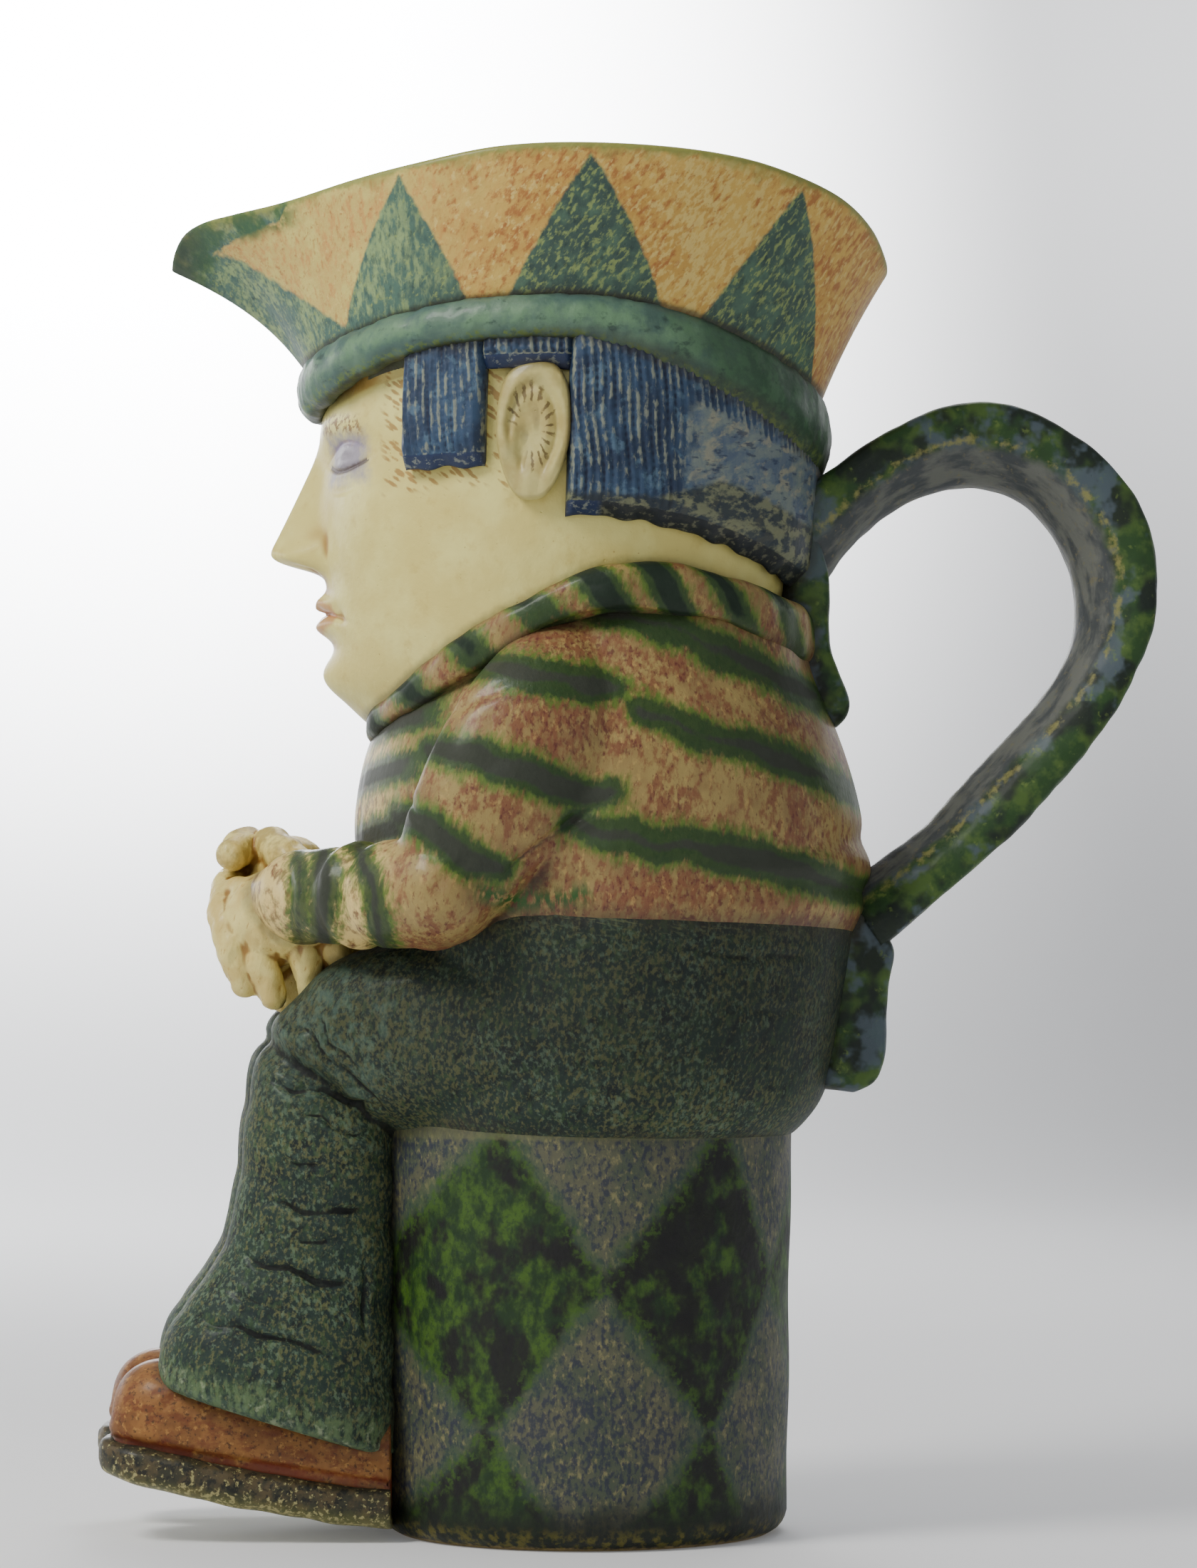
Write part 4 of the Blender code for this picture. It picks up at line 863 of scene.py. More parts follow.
def sole_glaze():
    """Near-black olive, mottled, flecked with cream and yellow-green that gather at its lower edge."""
    g = Glaze("sole glaze", 0.48, 0.08)
    g.shade = g.lay((48, 48, 35), (80, 69, 46), g.over(g.cloud(4, 4), 0.40, 0.62))
    g.paint((22, 25, 22), g.over(g.cloud(1.6, 4, shift=3.0), 0.50, 0.62, 0.85))
    low = g.over(g.edge("over_sole", 3.0, 3.0, 4), 4.0, 0.4)
    g.paint((120, 122, 66), g.times(low, 0.5))
    fleck = g.sum(g.cloud(1.0, 5, shift=6.0), g.times(low, 0.09))
    g.paint((164, 156, 104), g.over(fleck, 0.56, 0.66, 0.85))
    return g.fire()


points, faces = pair(lambda side: closed(limb(shoe_rows(side, False), 100, 90, side, 0.85)))
slope = np.interp(-points[:, 1] / MM, [38, 56, 73, 85, 97, 100], [11.2, 14.0, 16.6, 18.7, 20.7, 20.9])
seam = points[:, 2] / MM - slope
points = moved(points, faces, 0.25 * bump(seam - 2.4, 1.0) - 0.7 * bump(seam - 0.2, 0.7))
points = score(points, faces, [(0.45, 0.6, 4, 60, [(-72, -48), (-80, -52), (-86, -58)])])
piece("shoe_uppers", points, faces, [leather_glaze()], {"over_seam": seam})
points, faces = pair(lambda side: closed(limb(shoe_rows(side, True), 100, 76, side, 0.55)))
under = np.interp(-points[:, 1] / MM, [38, 56, 73, 85, 97, 100], [2.2, 4.6, 7.6, 9.8, 12.4, 14.0])
points = moved(points, faces, 0.18 * sway(points, 9 * MM, 8))
piece("shoe_soles", points, faces, [sole_glaze()], {"over_sole": points[:, 2] / MM - under})


# The sweater
# A slab body with its hem turned in over the waistband, and two sleeves bent at the elbow. Stripes
# of charcoal slip were brushed on, and the green beside them bled into the buff in bristly fringes.

# Heights above the seat, fronts, backs and half widths, in millimetres.
TORSO = [
    (36, -41, 53, 46), (40, -42.5, 55.5, 49.5), (44, -43.5, 57.2, 51), (52, -45.5, 57.6, 51.2),
    (60, -46.5, 56.8, 51.5), (68, -45.8, 55.2, 51), (76, -44, 52.8, 49.8), (84, -40.5, 49.8, 47.5),
    (92, -35.5, 46.8, 44.5), (100, -28, 45, 41.5), (106, -15, 41, 37),
]


def tube(path, radius, steps, sides, squeeze=(1, 1, 1), swell=None):
    """A round-ended tube through the stations of a path: circles set square to a smooth curve.
    squeeze flattens each circle along an axis, and swell is a factor of the share along it."""
    path = np.asarray(path, float)
    along = np.concatenate([[0], np.cumsum(np.linalg.norm(np.diff(path, axis=0), axis=1))])
    radius = np.broadcast_to(np.asarray(radius, float), along.shape)
    at = np.linspace(0, along[-1], steps)
    middle, size = through(along, path, at), through(along, radius, at)
    if swell is not None:
        size = size * swell(at / along[-1])
    heading = np.gradient(middle, axis=0)
    heading /= np.linalg.norm(heading, axis=1, keepdims=True)
    cap = np.linspace(0.12, 1.45, 6)
    dome, lead = np.sin(cap), np.cos(cap)[:, None]
    first = middle[0] - heading[0] * lead * size[0]
    last = middle[-1] + heading[-1] * lead[::-1] * size[-1]
    middle = np.concatenate([first, middle, last])
    heading = np.concatenate([0 * first + heading[0], heading, 0 * last + heading[-1]])
    size = np.concatenate([size[0] * dome, size, size[-1] * dome[::-1]])
    side = np.cross(heading, [0.0, 0.0, 1.0])
    side[np.linalg.norm(side, axis=1) < 0.2] = [1.0, 0.0, 0.0]
    for i in range(1, len(side)):
        side[i] = side[i - 1] - heading[i] * (side[i - 1] @ heading[i])
        side[i] /= np.linalg.norm(side[i])
    side[0] /= np.linalg.norm(side[0])
    rise = np.cross(side, heading)
    a = turn(sides)[None, :, None]
    ring = np.cos(a) * side[:, None] + np.sin(a) * rise[:, None]
    return middle[:, None] + size[:, None, None] * ring * np.array(squeeze)


rings = oval_rings(TORSO, 100, 180)
middle = rings.mean(1, keepdims=True)
out = (rings - middle) * [1, 1, 0]
out = out / np.linalg.norm(out, axis=-1, keepdims=True)
a = turn(180)[None, :, None]
z = (rings[..., 2:] - SEAT) / MM
back = np.clip(np.sin(a), 0, 1)
proud = -1.1 * bump(z - 47 - 2 * np.cos(a), 1.6) * (0.4 + 0.6 * back)
proud = proud - back * bump(z - 58 + 5 * np.cos(a) ** 2, 2.2) + 0.7 * bump(z - 52 - 2 * np.cos(a), 3.0)
shells = [sleeve(rings + out * proud * MM)]


def elbow_puckers(share):
    """The forearm's size: hollows where the cloth is drawn in, hills between, and a turned cuff."""
    size = 1 - 0.10 * bump(share - 0.36, 0.035) - 0.08 * bump(share - 0.52, 0.03)
    return size + 0.07 * bump(share - 0.44, 0.05) + 0.09 * bump(share - 0.84, 0.06)


# Stations of the upper arm and of the forearm, from the seat, with the radius at each.
for side in (1, -1):
    mirror = np.array([side, 1, 1]) * MM
    upper = [
        (32, -3, 97), (39, -5, 88), (44.5, -9, 78), (46.5, -14, 69), (47, -19.5, 59),
        (46, -25, 50), (44, -29, 44),
    ]
    size = np.array([8, 13, 15.8, 16.0, 14.8, 12.2, 9.0]) * MM
    upper_rings = tube(np.array(upper) * mirror + [0, 0, SEAT], size, 70, 70, (0.60, 1, 1))
    forearm = [(45, -27, 47), (38, -37.5, 46.3), (28.5, -48, 46.2), (19, -56, 46.0), (13, -60, 45.0)]
    size = np.array([11.0, 10.6, 9.7, 8.8, 8.0]) * MM
    forearm_rings = tube(np.array(forearm) * mirror + [0, 0, SEAT], size, 80, 64, (1, 1, 1), elbow_puckers)
    shells += [outside(upper_rings), outside(forearm_rings)]
points, faces = fused(shells, 0.95 * MM, 2)
seams = [
    (0.9, 0.8, 25, 70, [(5.4, 65.0), (-5.1, 58.0), (-12.9, 51.7), (-17.7, 45.4)]),
    (0.6, 1.0, 15, 70, [(-27, 80), (-20, 84), (-12, 87)]),
    (0.4, 0.8, 20, 70, [(-36, 68), (-31, 60), (-28, 50)]),
    (0.5, 0.7, 20, 70, [(-30, 44), (-26, 50), (-20, 54)]),
    (0.6, 0.7, 4, 70, [(-58.5, 54), (-57.0, 46), (-57.4, 38)]),
    (0.4, 0.6, 10, 60, [(-44, 52), (-41, 46), (-42, 40)]),
    (0.4, 1.0, 15, 70, [(22, 90), (34, 84), (44, 76)]),
    (0.5, 0.8, 10, 24, [(-44, 76), (-46, 66), (-46, 56)]),
]
points = score(points, faces, seams)
mm = points / MM - [0, 0, SEAT / MM]
far = np.abs(mm[:, 0])
# Each stripe is a half width and its stations in side view, in millimetres.
sleeve_stripes = [
    (2.2, [(-30.3, 74.7), (-19.0, 72.0), (-8.6, 68.4), (-0.3, 65.0), (5.4, 65.7)]),
    (2.0, [(-36.6, 62.1), (-29.6, 58.7), (-21.2, 52.4), (-15.6, 51.0)]),
    (1.7, [(-51.3, 54.9), (-50.5, 47.2), (-51.6, 34.0)]),
    (0.3, [(-56.4, 54.9), (-55.2, 47.2), (-56.1, 36.0)]),
    (0.9, [(-43.9, 56.5), (-40.4, 47.1), (-38.3, 36.0)]),
]
back_stripes = [
    (1.9, [(1.9, 101.7), (16.1, 98.5), (30.7, 92.2), (43.8, 86.8), (50, 84.5)]),
    (2.3, [(-20.0, 90.5), (-5.8, 87.6), (6.0, 85.8)]),
    (1.9, [(11.1, 82.2), (19.5, 78.1), (30.2, 75.2), (40.7, 72.4), (56.0, 66.0)]),
    (2.3, [(-2.3, 59.5), (12.4, 56.1), (26.4, 54.6), (40.5, 51.1), (58, 46.5)]),
]
stripes = np.full(len(points), -9.0)
cores = stripes.copy()
for shrink, lines in ((0.1, sleeve_stripes), (0.9, back_stripes)):
    for half, line in lines:
        gap, along = line_gap(points, line)
        thin = 1 - 0.5 * np.clip(np.abs(along - 0.5) * 2, 0, 1) ** 3
        distance = np.where((far > 14) | (mm[:, 1] > 20), half * thin - gap, -9)
        stripes = np.maximum(stripes, distance)
        cores = np.maximum(cores, distance - shrink - 0.7 * shrink * np.sin(9 * along + len(line)))
# On the chest, between the sleeves, three level bands that lean a little.
for level in (56, 68, 78):
    chest = 1.6 - np.abs(mm[:, 2] - level - 0.12 * mm[:, 0])
    chest = np.minimum(chest, np.minimum((31 - far) * 0.35, (-31 - mm[:, 1]) * 0.5))
    stripes, cores = np.maximum(stripes, chest), np.maximum(cores, chest)
hem_fringe = bump(line_gap(points, [(-19.0, 45.8), (-10.0, 44.8), (-1.0, 45.4)])[0], 2.4) * (far > 20)
chest_fold = np.clip(1 - np.minimum(far, 30) / 30, 0, 1) * (mm[:, 1] < -30)


def knit_glaze(name, mark="stripes", dark=(52, 56, 46)):
    """Ochre-buff with rust and plum blotches that gather in some places and are rare in others. The
    stripes are matt charcoal, and green bleeds from beside them in bristles."""
    g = Glaze(name, 0.48)
    blot = g.cloud(1.5, 5, (1, 1, 1.9), (10, 0, 0))
    zone = g.over(g.cloud(19, 3, shift=1.0), 0.40, 0.58)
    g.shade = g.lay((150, 130, 78), (130, 106, 66), g.over(g.cloud(13), 0.38, 0.62))
    rust = g.over(g.sum(blot, g.times(zone, 0.11)), 0.48, 0.68, 0.85)
    g.paint((118, 72, 50), rust)
    plum = g.over(g.sum(g.cloud(0.9, 4, (1, 1, 1.6), shift=3.0), g.times(zone, 0.09)), 0.58, 0.74, 0.75)
    g.paint((88, 38, 38), plum)
    g.paint((180, 152, 88), g.over(g.cloud(1.4, 4, (1, 1, 1.5), shift=6.0), 0.56, 0.72, 0.6))
    bare = g.over(g.cloud(2.0, 5, (1, 1, 1.5), shift=8.0), 0.36, 0.54)
    g.paint((222, 196, 124), g.times(g.over(g.mark("forward"), 32, 44, 0.9), bare))
    g.paint((60, 34, 26), g.over(g.mark("hollow"), 0.16, 0.46, 0.8))
    bristle = g.cloud(0.9, 4, (1, 1, 3.6), (12, 0, 0), 2.0)
    edge = g.ragged(g.ragged(g.mark(mark), bristle, 6.5), g.cloud(4.0, 3, shift=4.0), 3.0)
    near = g.over(g.edge(mark, 4.0, 1.3, 4, (1, 1, 1.8), shift=7.0), -2.2, -0.8)
    fringe = g.lay((78, 106, 36), (26, 62, 24), near)
    g.paint(fringe, g.over(edge, -4.0, -1.0, 0.93))
    core = g.over(g.edge(mark + "_core", 1.6, 1.6, 4, (1, 1, 2.0)), -0.5, 0.5)
    g.paint(dark, core)
    g.paint((34, 30, 22), g.over(g.mark("hollow"), 0.30, 0.60, 0.5))
    g.rise(blot, 0.12)
    return g, core


g, core = knit_glaze("knit glaze")
g.paint((42, 80, 32), g.times(g.over(g.cloud(1.2, 4, (1, 1, 3)), 0.38, 0.56), g.mark("hem")))
chest = g.times(g.over(g.cloud(2.4, 4), 0.46, 0.64, 0.6), g.mark("chest"))
g.paint((104, 56, 42), g.times(chest, g.less(1.0, core)))
marks = {
    "stripes": stripes,
    "stripes_core": cores,
    "hem": hem_fringe,
    "chest": chest_fold,
    "forward": -mm[:, 1],
}
piece("sweater", points, faces, [g.fire(core)], marks, 6)


# The collar
# A roll of clay laid round the neck, low under the chin and tall at the nape, with dark green bars
# brushed across it.

COLLAR_BARS = 19
COLLAR_MIDDLE = (41.5, 41.7)  # half width and half length of the roll's middle, in millimetres
COLLAR_OUTSIDE = 43
a = turn(260)
back = (1 + np.sin(a)) / 2
level = through([0, 0.1, 0.25, 0.5, 0.75, 1], [80.5, 86.5, 94.5, 105.0, 104.8, 98], back)
high = through([0, 0.25, 0.5, 0.75, 1], [3.6, 4.8, 4.5, 5.3, 6.0], back)
middle = [COLLAR_MIDDLE[0] * np.cos(a), 1.8 + COLLAR_MIDDLE[1] * np.sin(a), level]
middle = np.stack(middle, -1) * MM + [0, 0, SEAT]
out = np.stack([np.cos(a), np.sin(a), 0 * a], -1)
b = turn(44)[:, None, None]
round_out, round_up = squared(np.cos(b), 0.72), squared(np.sin(b), 0.72)
thick = 4.2 + 0.25 * np.sin(9 * a + 1) + 0.2 * np.sin(17 * a)
high = high + 0.35 * np.sin(7 * a) + 0.2 * np.sin(15 * a + 2)
rings = middle + (thick[:, None] * round_out * out + high[:, None] * round_up * [0, 0, 1]) * MM
points, faces = closed(on_wall(rings, only_inside=True).transpose(1, 0, 2), wrap=True)
spin = np.repeat(a, b.size)
section = np.tile(b.ravel(), a.size)
dent = bump(section - math.pi * 1.62, 0.22) * 0.5 + 0.18 * sway(points, 7 * MM, 3)
points = moved(points, faces, -dent)
phase = spin * COLLAR_BARS / (2 * math.pi) + 0.35 + 0.30 * np.sin(section) + 0.2 * np.sin(3 * spin)
phase = phase % 1 - 0.5
bars = 2.3 + 0.8 * np.sin(4 * spin + 1) - np.abs(phase) * 2 * math.pi * COLLAR_OUTSIDE / COLLAR_BARS
bars = np.minimum(bars, 1.7 + 2.6 * np.sin(section + 0.3 + 1.3 * np.sin(5 * spin)))
g, core = knit_glaze("collar glaze", "bars", (24, 40, 26))
marks = {"bars": bars, "bars_core": bars - 0.4, "forward": 0 * bars}
piece("collar", points, faces, [g.fire(core)], marks)


# The hands
# Two clasped hands of pale clay, fingers laced, each finger a roll laid on and creased with a
# knife. Thin ochre was rubbed into the cuts.

HAND_SIZE = 36 * MM
FINGER_RADIUS = 3.3 * MM
unit = HAND_SIZE / 36
centre = np.array([0, -60.4 * MM, SEAT + 40 * MM])
# The stations of the palms and fingers are in 36ths of the hand's size, about this centre.


def knuckles(share):
    """A finger's size: a hill at each of its two joints, and a waist between them."""
    joints = 0.09 * bump(share - 0.30, 0.06) + 0.08 * bump(share - 0.64, 0.06)
    return 1 + joints - 0.06 * bump(share - 0.47, 0.07)


core = np.array([(0, 1, 11.0), (0, 0.5, 5.0), (0, 0, -2.0), (0, 1.5, -9.0)]) * unit
shells = [closed(tube(centre + core, np.array([8.0, 11.0, 11.5, 8.5]) * unit, 40, 50))]
for side in (1, -1):
    mirror = np.array([side, 1, 1]) * unit
    heel = np.array([(19, 8, 5), (14, 3, 3.5), (9, -3, 1), (5, -5, -3)])
    shells.append(closed(tube(centre + heel * mirror, np.array([7.5, 9.0, 10.0, 9.0]) * unit, 40, 44)))
    # The far hand's fingers lie between the near one's, and the two hands slope opposite ways.
    shift = 0 if side > 0 else 2.4
    slope = 1.6 * side
    index = [
        (-12, -5.5, 8.5 + slope), (-6, -9.5, 8.5 + slope), (2, -11.8, 6.5 + slope),
        (9.5, -11.6, 3), (13.8, -9.8, -4), (13.2, -7.4, -11),
    ]
    middle = [
        (-8, -8.5, 0.5 + slope), (-1, -11.2, 0.5 + slope), (6.5, -11.0, -1),
        (12.0, -7.6, -3.5), (14.6, -3.6, -8), (13.8, -1.6, -13.5),
    ]
    for finger in (index, middle):
        size = FINGER_RADIUS * np.array([1, 1.05, 1, 1.05, 1, 0.9])
        shells.append(closed(tube(centre + np.array(finger) * mirror, size, 70, 30, (1, 1, 1), knuckles)))
    for i, (y, tip, thick) in enumerate(((1.8, -12.5, 1.0), (8.0, -8.5, 0.85))):
        root = y + shift
        finger = [
            (-2, root + 1.5, 8.3 - 1.2 * i), (5, root, 9.3 - 1.2 * i), (11.5, root + 0.4, 5.3 - 1.2 * i),
            (15.4, root + 2.4, -2.8 - 0.5 * i), (14.2, root + 4.6, tip),
        ]
        size = FINGER_RADIUS * thick * np.array([0.95, 1.08, 1.0, 1.02, 0.92])
        shells.append(closed(tube(centre + np.array(finger) * mirror, size, 60, 30, (1, 1, 1), knuckles)))
    lay = 2.6 * side
    thumb = np.array([(13, 2 + lay, 11), (7, -3 + lay, 15.2), (0, -6 + lay, 16.6), (-6, -8 + lay, 14.8)])
    size = FINGER_RADIUS * np.array([1.2, 1.15, 1.2, 1.0])
    shells.append(closed(tube(centre + thumb * mirror, size, 50, 30, (1, 1, 1), knuckles)))
points, faces = fused(shells, 0.48 * MM, 2)
nick = 0.28 * np.clip(sway(points * [1, 1, 0.45], 2.6 * MM, 6) - 0.35, 0, 1) ** 0.7
points = moved(points, faces, -nick - 0.14 * sway(points, 5 * MM, 9))


def hand_glaze():
    """Cream, thin enough to show the clay, with ochre washed into each crack and scratch, and olive
    brown on the knuckles at the top."""
    g = Glaze("hand glaze", 0.42)
    g.shade = g.lay((223, 206, 127), (208, 184, 107), g.over(g.cloud(6), 0.38, 0.62))
    scratch = g.cloud(0.9, 4, (1, 1, 4.0), (20, 0, 0))
    g.paint((175, 135, 64), g.over(scratch, 0.60, 0.72, 0.7))
    top = g.times(g.over(g.mark("lift"), 6, 15), g.over(g.cloud(3.5), 0.40, 0.60))
    g.paint((141, 118, 57), g.times(top, 0.6))
    g.paint((137, 96, 41), g.over(g.mark("hollow"), 0.04, 0.22, 0.9))
    g.rise(scratch, -0.18)
    return g.fire()


piece("hands", points, faces, [hand_glaze()], {"lift": (points[:, 2] - centre[2]) / MM}, 10)


# The head
# An egg of pale clay on the pot's neck. The face was modelled on its front by the draughtsman's
# thirds, brow to nose and nose to chin one step each, with lowered lids and a level mouth.

# Height above the seat, front, back and half width of the egg, in millimetres.
HEAD = np.array(
    [
        (77, -36, 20, 21), (81, -43, 24, 28), (87, -48, 30, 34), (94, -50.5, 36.5, 38.5),
        (106, -52, 40.5, 42), (120, -52.8, 42.5, 44.2), (135, -53, 43.5, 45.2),
        (150, -52.5, 44, 45.5), (162, -51, 43, 45),
    ]
)
CHIN = 85.5
STEP = 27.2
NOSE_BASE = CHIN + STEP
BROW = NOSE_BASE + STEP
EYE_LINE = BROW - 0.22 * STEP
EYE_APART = 17.5
MOUTH = NOSE_BASE - STEP / 3


def hills(rows, across, up):
    """A sum of hills and hollows: for each row, its height times a hill across times a hill up."""
    return sum(high * bump(across - x, wide) * bump(up - z, tall) for high, x, wide, z, tall in rows)


# Height, and place and width across and up, of the hills and hollows of the face: under the nose,
# the wings of the nose and the folds behind them, the nostrils, the brow, the eye's socket and its
# ball, the cheek, the corner of the mouth, the groove over it, the dip below it and the chin.
FACE_HILLS = [
    (-2.4, 0, 4.5, NOSE_BASE + 0.6, 1.9),
    (3.6, 6.2, 3.0, NOSE_BASE + 2.6, 3.0),
    (-0.9, 9.6, 1.0, NOSE_BASE + 3.0, 3.2),
    (-1.8, 4.2, 1.5, NOSE_BASE + 0.2, 0.9),
    (1.6, 17, 12, BROW + 0.5, 4.2),
    (-3.2, EYE_APART - 1, 8, EYE_LINE + 0.5, 4.6),
    (2.9, EYE_APART, 5.6, EYE_LINE - 0.6, 3.1),
    (1.8, 26, 10, NOSE_BASE + 6.0, 9),
    (-0.8, 12, 1.8, MOUTH - 1.0, 2.0),
    (-0.45, 0, 1.6, MOUTH + 6.0, 2.6),
    (-0.9, 0, 9, MOUTH - 7.2, 2.6),
    (3.2, 0, 9.5, CHIN + 5.2, 4.8),
]


def lash_line(wide, z):
    """How far a place lies above the closed lashes, a shallow bowl: the square of the way across."""
    return z - EYE_LINE + 2.6 - 0.022 * (wide - EYE_APART) ** 2


def relief(x, z):
    """How far the face stands out from the egg: a ridge for the nose that widens downwards, the
    hills and hollows, narrow cuts that follow curves for the lids, and the two lips."""
    wide = np.abs(x)
    down = np.clip((BROW - 1 - z) / (STEP - 3), 0, 1.2)
    ridge = (1.2 + 11 * down**1.25) * bump(x, 4.0 + 2.0 * down)
    under = 1 / (1 + np.exp(-(z - NOSE_BASE - 0.2) / 0.75))
    over = 1 / (1 + np.exp((z - BROW) / 2.6))
    out = ridge * under * over + hills(FACE_HILLS, wide, z)
    lash = lash_line(wide, z)
    fold = z - EYE_LINE - 3.2 + 0.035 * (wide - EYE_APART) ** 2
    out = out - 0.9 * bump(wide - EYE_APART, 6.6) * bump(lash, 0.42)
    out = out - 0.55 * bump(wide - EYE_APART, 7.0) * bump(fold, 0.5)
    out = out - 0.35 * bump(wide - EYE_APART, 6.0) * bump(lash + 4.2, 0.8)
    lips = bump(wide, 11.0) ** 1.4
    bow = 0.5 * bump(wide - 3.0, 2.2) - 0.4 * bump(wide, 1.4)
    out = out + 2.6 * lips * bump(z - MOUTH - 1.9 - bow, 1.7)
    out = out + 2.9 * lips * bump(z - MOUTH + 2.5, 2.1)
    return out - 1.5 * bump(wide, 11.5) * bump(z - MOUTH + 0.012 * wide**2 - 0.3, 0.55)


def on_head(angle, z, proud):
    """A point on the egg at an angle and a height, proud of it: an oval read from the head's table."""
    front, back, wide = (through(HEAD[:, 0], HEAD[:, i], z) * MM for i in (1, 2, 3))
    x = (wide + proud) * np.cos(angle)
    y = (front + back) / 2 + ((back - front) / 2 + proud) * np.sin(angle)
    return np.stack([x, y, SEAT + np.asarray(z) * MM + 0 * x], -1)


share = np.linspace(-1, 1, 345)[:-1]
a = FRONT + through([-1, -0.35, 0, 0.35, 1], [-math.pi, -0.62, 0, 0.62, math.pi], share)
up = np.concatenate([np.linspace(0, 0.92, 152), np.linspace(0.94, 1, 5)])[:, None]
z = HEAD[0, 0] + (sum(hat_edges(a)) / 2 - HEAD[0, 0]) * up
rings = on_head(a + 0 * z, z, 0.0)
jaw = through([80, 92, 112, 140], [0.34, 0.24, 0.15, 0.10], z)
rings[..., 0] *= 1 - jaw * np.clip(-np.sin(a), 0, 1) ** 2
face_side = np.clip(-np.sin(a), 0, 1) ** 1.5
rings[..., 1] -= relief(rings[..., 0] / MM, z) * face_side * MM
points, faces = sleeve(rings)
mm = points / MM - [0, 0, SEAT / MM]
far = np.abs(mm[:, 0])
is_front = mm[:, 1] < -20
lash = np.where(np.abs(far - EYE_APART) < 8.5, 0.55 - np.abs(lash_line(far, mm[:, 2])), -5)
lids = np.minimum(7.4 - np.abs(far - EYE_APART), 4.4 - np.abs(mm[:, 2] - EYE_LINE))
tilt = mm[:, 2] - BROW - 1.0 + 0.05 * np.clip(far - 16, 0, 20) ** 1.5
lips = np.minimum(9.8 - far, 3.9 - np.abs(mm[:, 2] - MOUTH + 0.4) - 0.022 * far**2)
temple = np.minimum(mm[:, 1] + 40, -14 - mm[:, 1])
marks = {
    "lids": np.where(is_front, lids, -9),
    "lash": np.where(is_front, lash, -5),
    "brow": np.where(is_front, np.minimum(1.5 - np.abs(tilt), 9.5 - np.abs(far - 15)), -5),
    "lips": np.where(is_front, lips, -9),
    "temple": np.minimum(temple, np.minimum(mm[:, 2] - 125, 160 - mm[:, 2])),
}


def skin_glaze():
    """Ivory with a breath of ochre in the creases, violet-blue over the lids, rust on the lips, and
    short brown strokes at the brow and the temple."""
    g = Glaze("skin glaze", 0.40, 0.2)
    g.shade = g.lay((224, 214, 130), (212, 197, 113), g.over(g.cloud(15), 0.36, 0.64))
    g.paint((194, 170, 88), g.over(g.cloud(5, 4, shift=3.0), 0.56, 0.74, 0.5))
    g.paint((156, 122, 58), g.over(g.spots(4.2), 0.055, 0.02, 0.7))
    g.paint((152, 108, 46), g.over(g.mark("hollow"), 0.05, 0.30, 0.8))
    lid = g.over(g.edge("lids", 5.0, 2.5, 4), -2.6, 2.5, 0.8)
    g.paint((104, 98, 142), lid)
    hatch = g.ragged(g.spots(1.7, (9, 1.9, 0.55), (38, 0, 0)), g.cloud(1.0, 3), 0.4)
    temple = g.times(g.over(g.edge("temple", 5.0, 4), -0.5, 2.0), g.over(hatch, 0.50, 0.30))
    g.paint((144, 98, 46), g.times(temple, 0.75))
    brow = g.over(g.cloud(0.8, 3, (2.2, 1, 1), (0, 30, 0)), 0.46, 0.58)
    brow = g.times(g.over(g.mark("brow"), -1.2, 0.6), brow)
    g.paint((116, 77, 38), g.times(brow, 0.85))
    g.paint((68, 50, 41), g.over(g.edge("lash", 0.5, 1.2), -0.2, 0.35, 0.9))
    lip = g.over(g.edge("lips", 1.2, 1.5, 4), -0.6, 0.7, 0.72)
    g.paint((178, 112, 63), lip)
    return g.fire()


piece("head", points, faces, [skin_glaze()], marks, 10)


# The ears
# Each a shallow dish with a rolled rim, an inner fold that follows it and a lobe, pressed on and
# drawn over with short brown strokes.

EAR_HEIGHT = 26 * MM
EAR_HALF_WIDTH = 0.27 * EAR_HEIGHT
EAR_BACK = -9.6 * MM  # the middle of the ear, and its height over the seat
EAR_UP = 136.0 * MM
# The bowl, the ridge in it, the flap before it, the notch and the lobe, as the face's rows but in
# shares of the ear's half size.
EAR_HILLS = [
    (-1.0, -0.22, 0.30, -0.02, 0.38),
    (0.5, -0.35, 0.34, 0.10, 0.10),
    (1.0, -0.66, 0.20, -0.20, 0.18),
    (-0.5, -0.36, 0.12, -0.46, 0.14),
    (0.6, -0.12, 0.34, -0.78, 0.24),
]


def ear_relief(back, up):
    """How far the ear stands out at places back and up, each a share of its half size: a low rolled
    rim and an inner fold are hills of the way from the middle, and the rest is its own hills."""
    way = np.hypot(back, up)
    a = np.degrees(np.arctan2(up, back))
    rim = np.clip((a + 75) / 40, 0, 1) * (a > -90) + np.clip((-150 - a) / 20, 0, 1) * (a < -90)
    out = 3.9 + 0.8 * rim * bump(way - 0.88, 0.16) - 0.5 * rim * bump(way - 0.68, 0.10)
    fold = np.clip((a + 90) / 40, 0, 1) * np.clip((130 - a) / 50, 0, 1) * (a > -120)
    out = out + 0.45 * fold * bump(np.hypot(back + 0.10, up * 0.86 - 0.06) - 0.47, 0.13)
    return out + hills(EAR_HILLS, back, up)


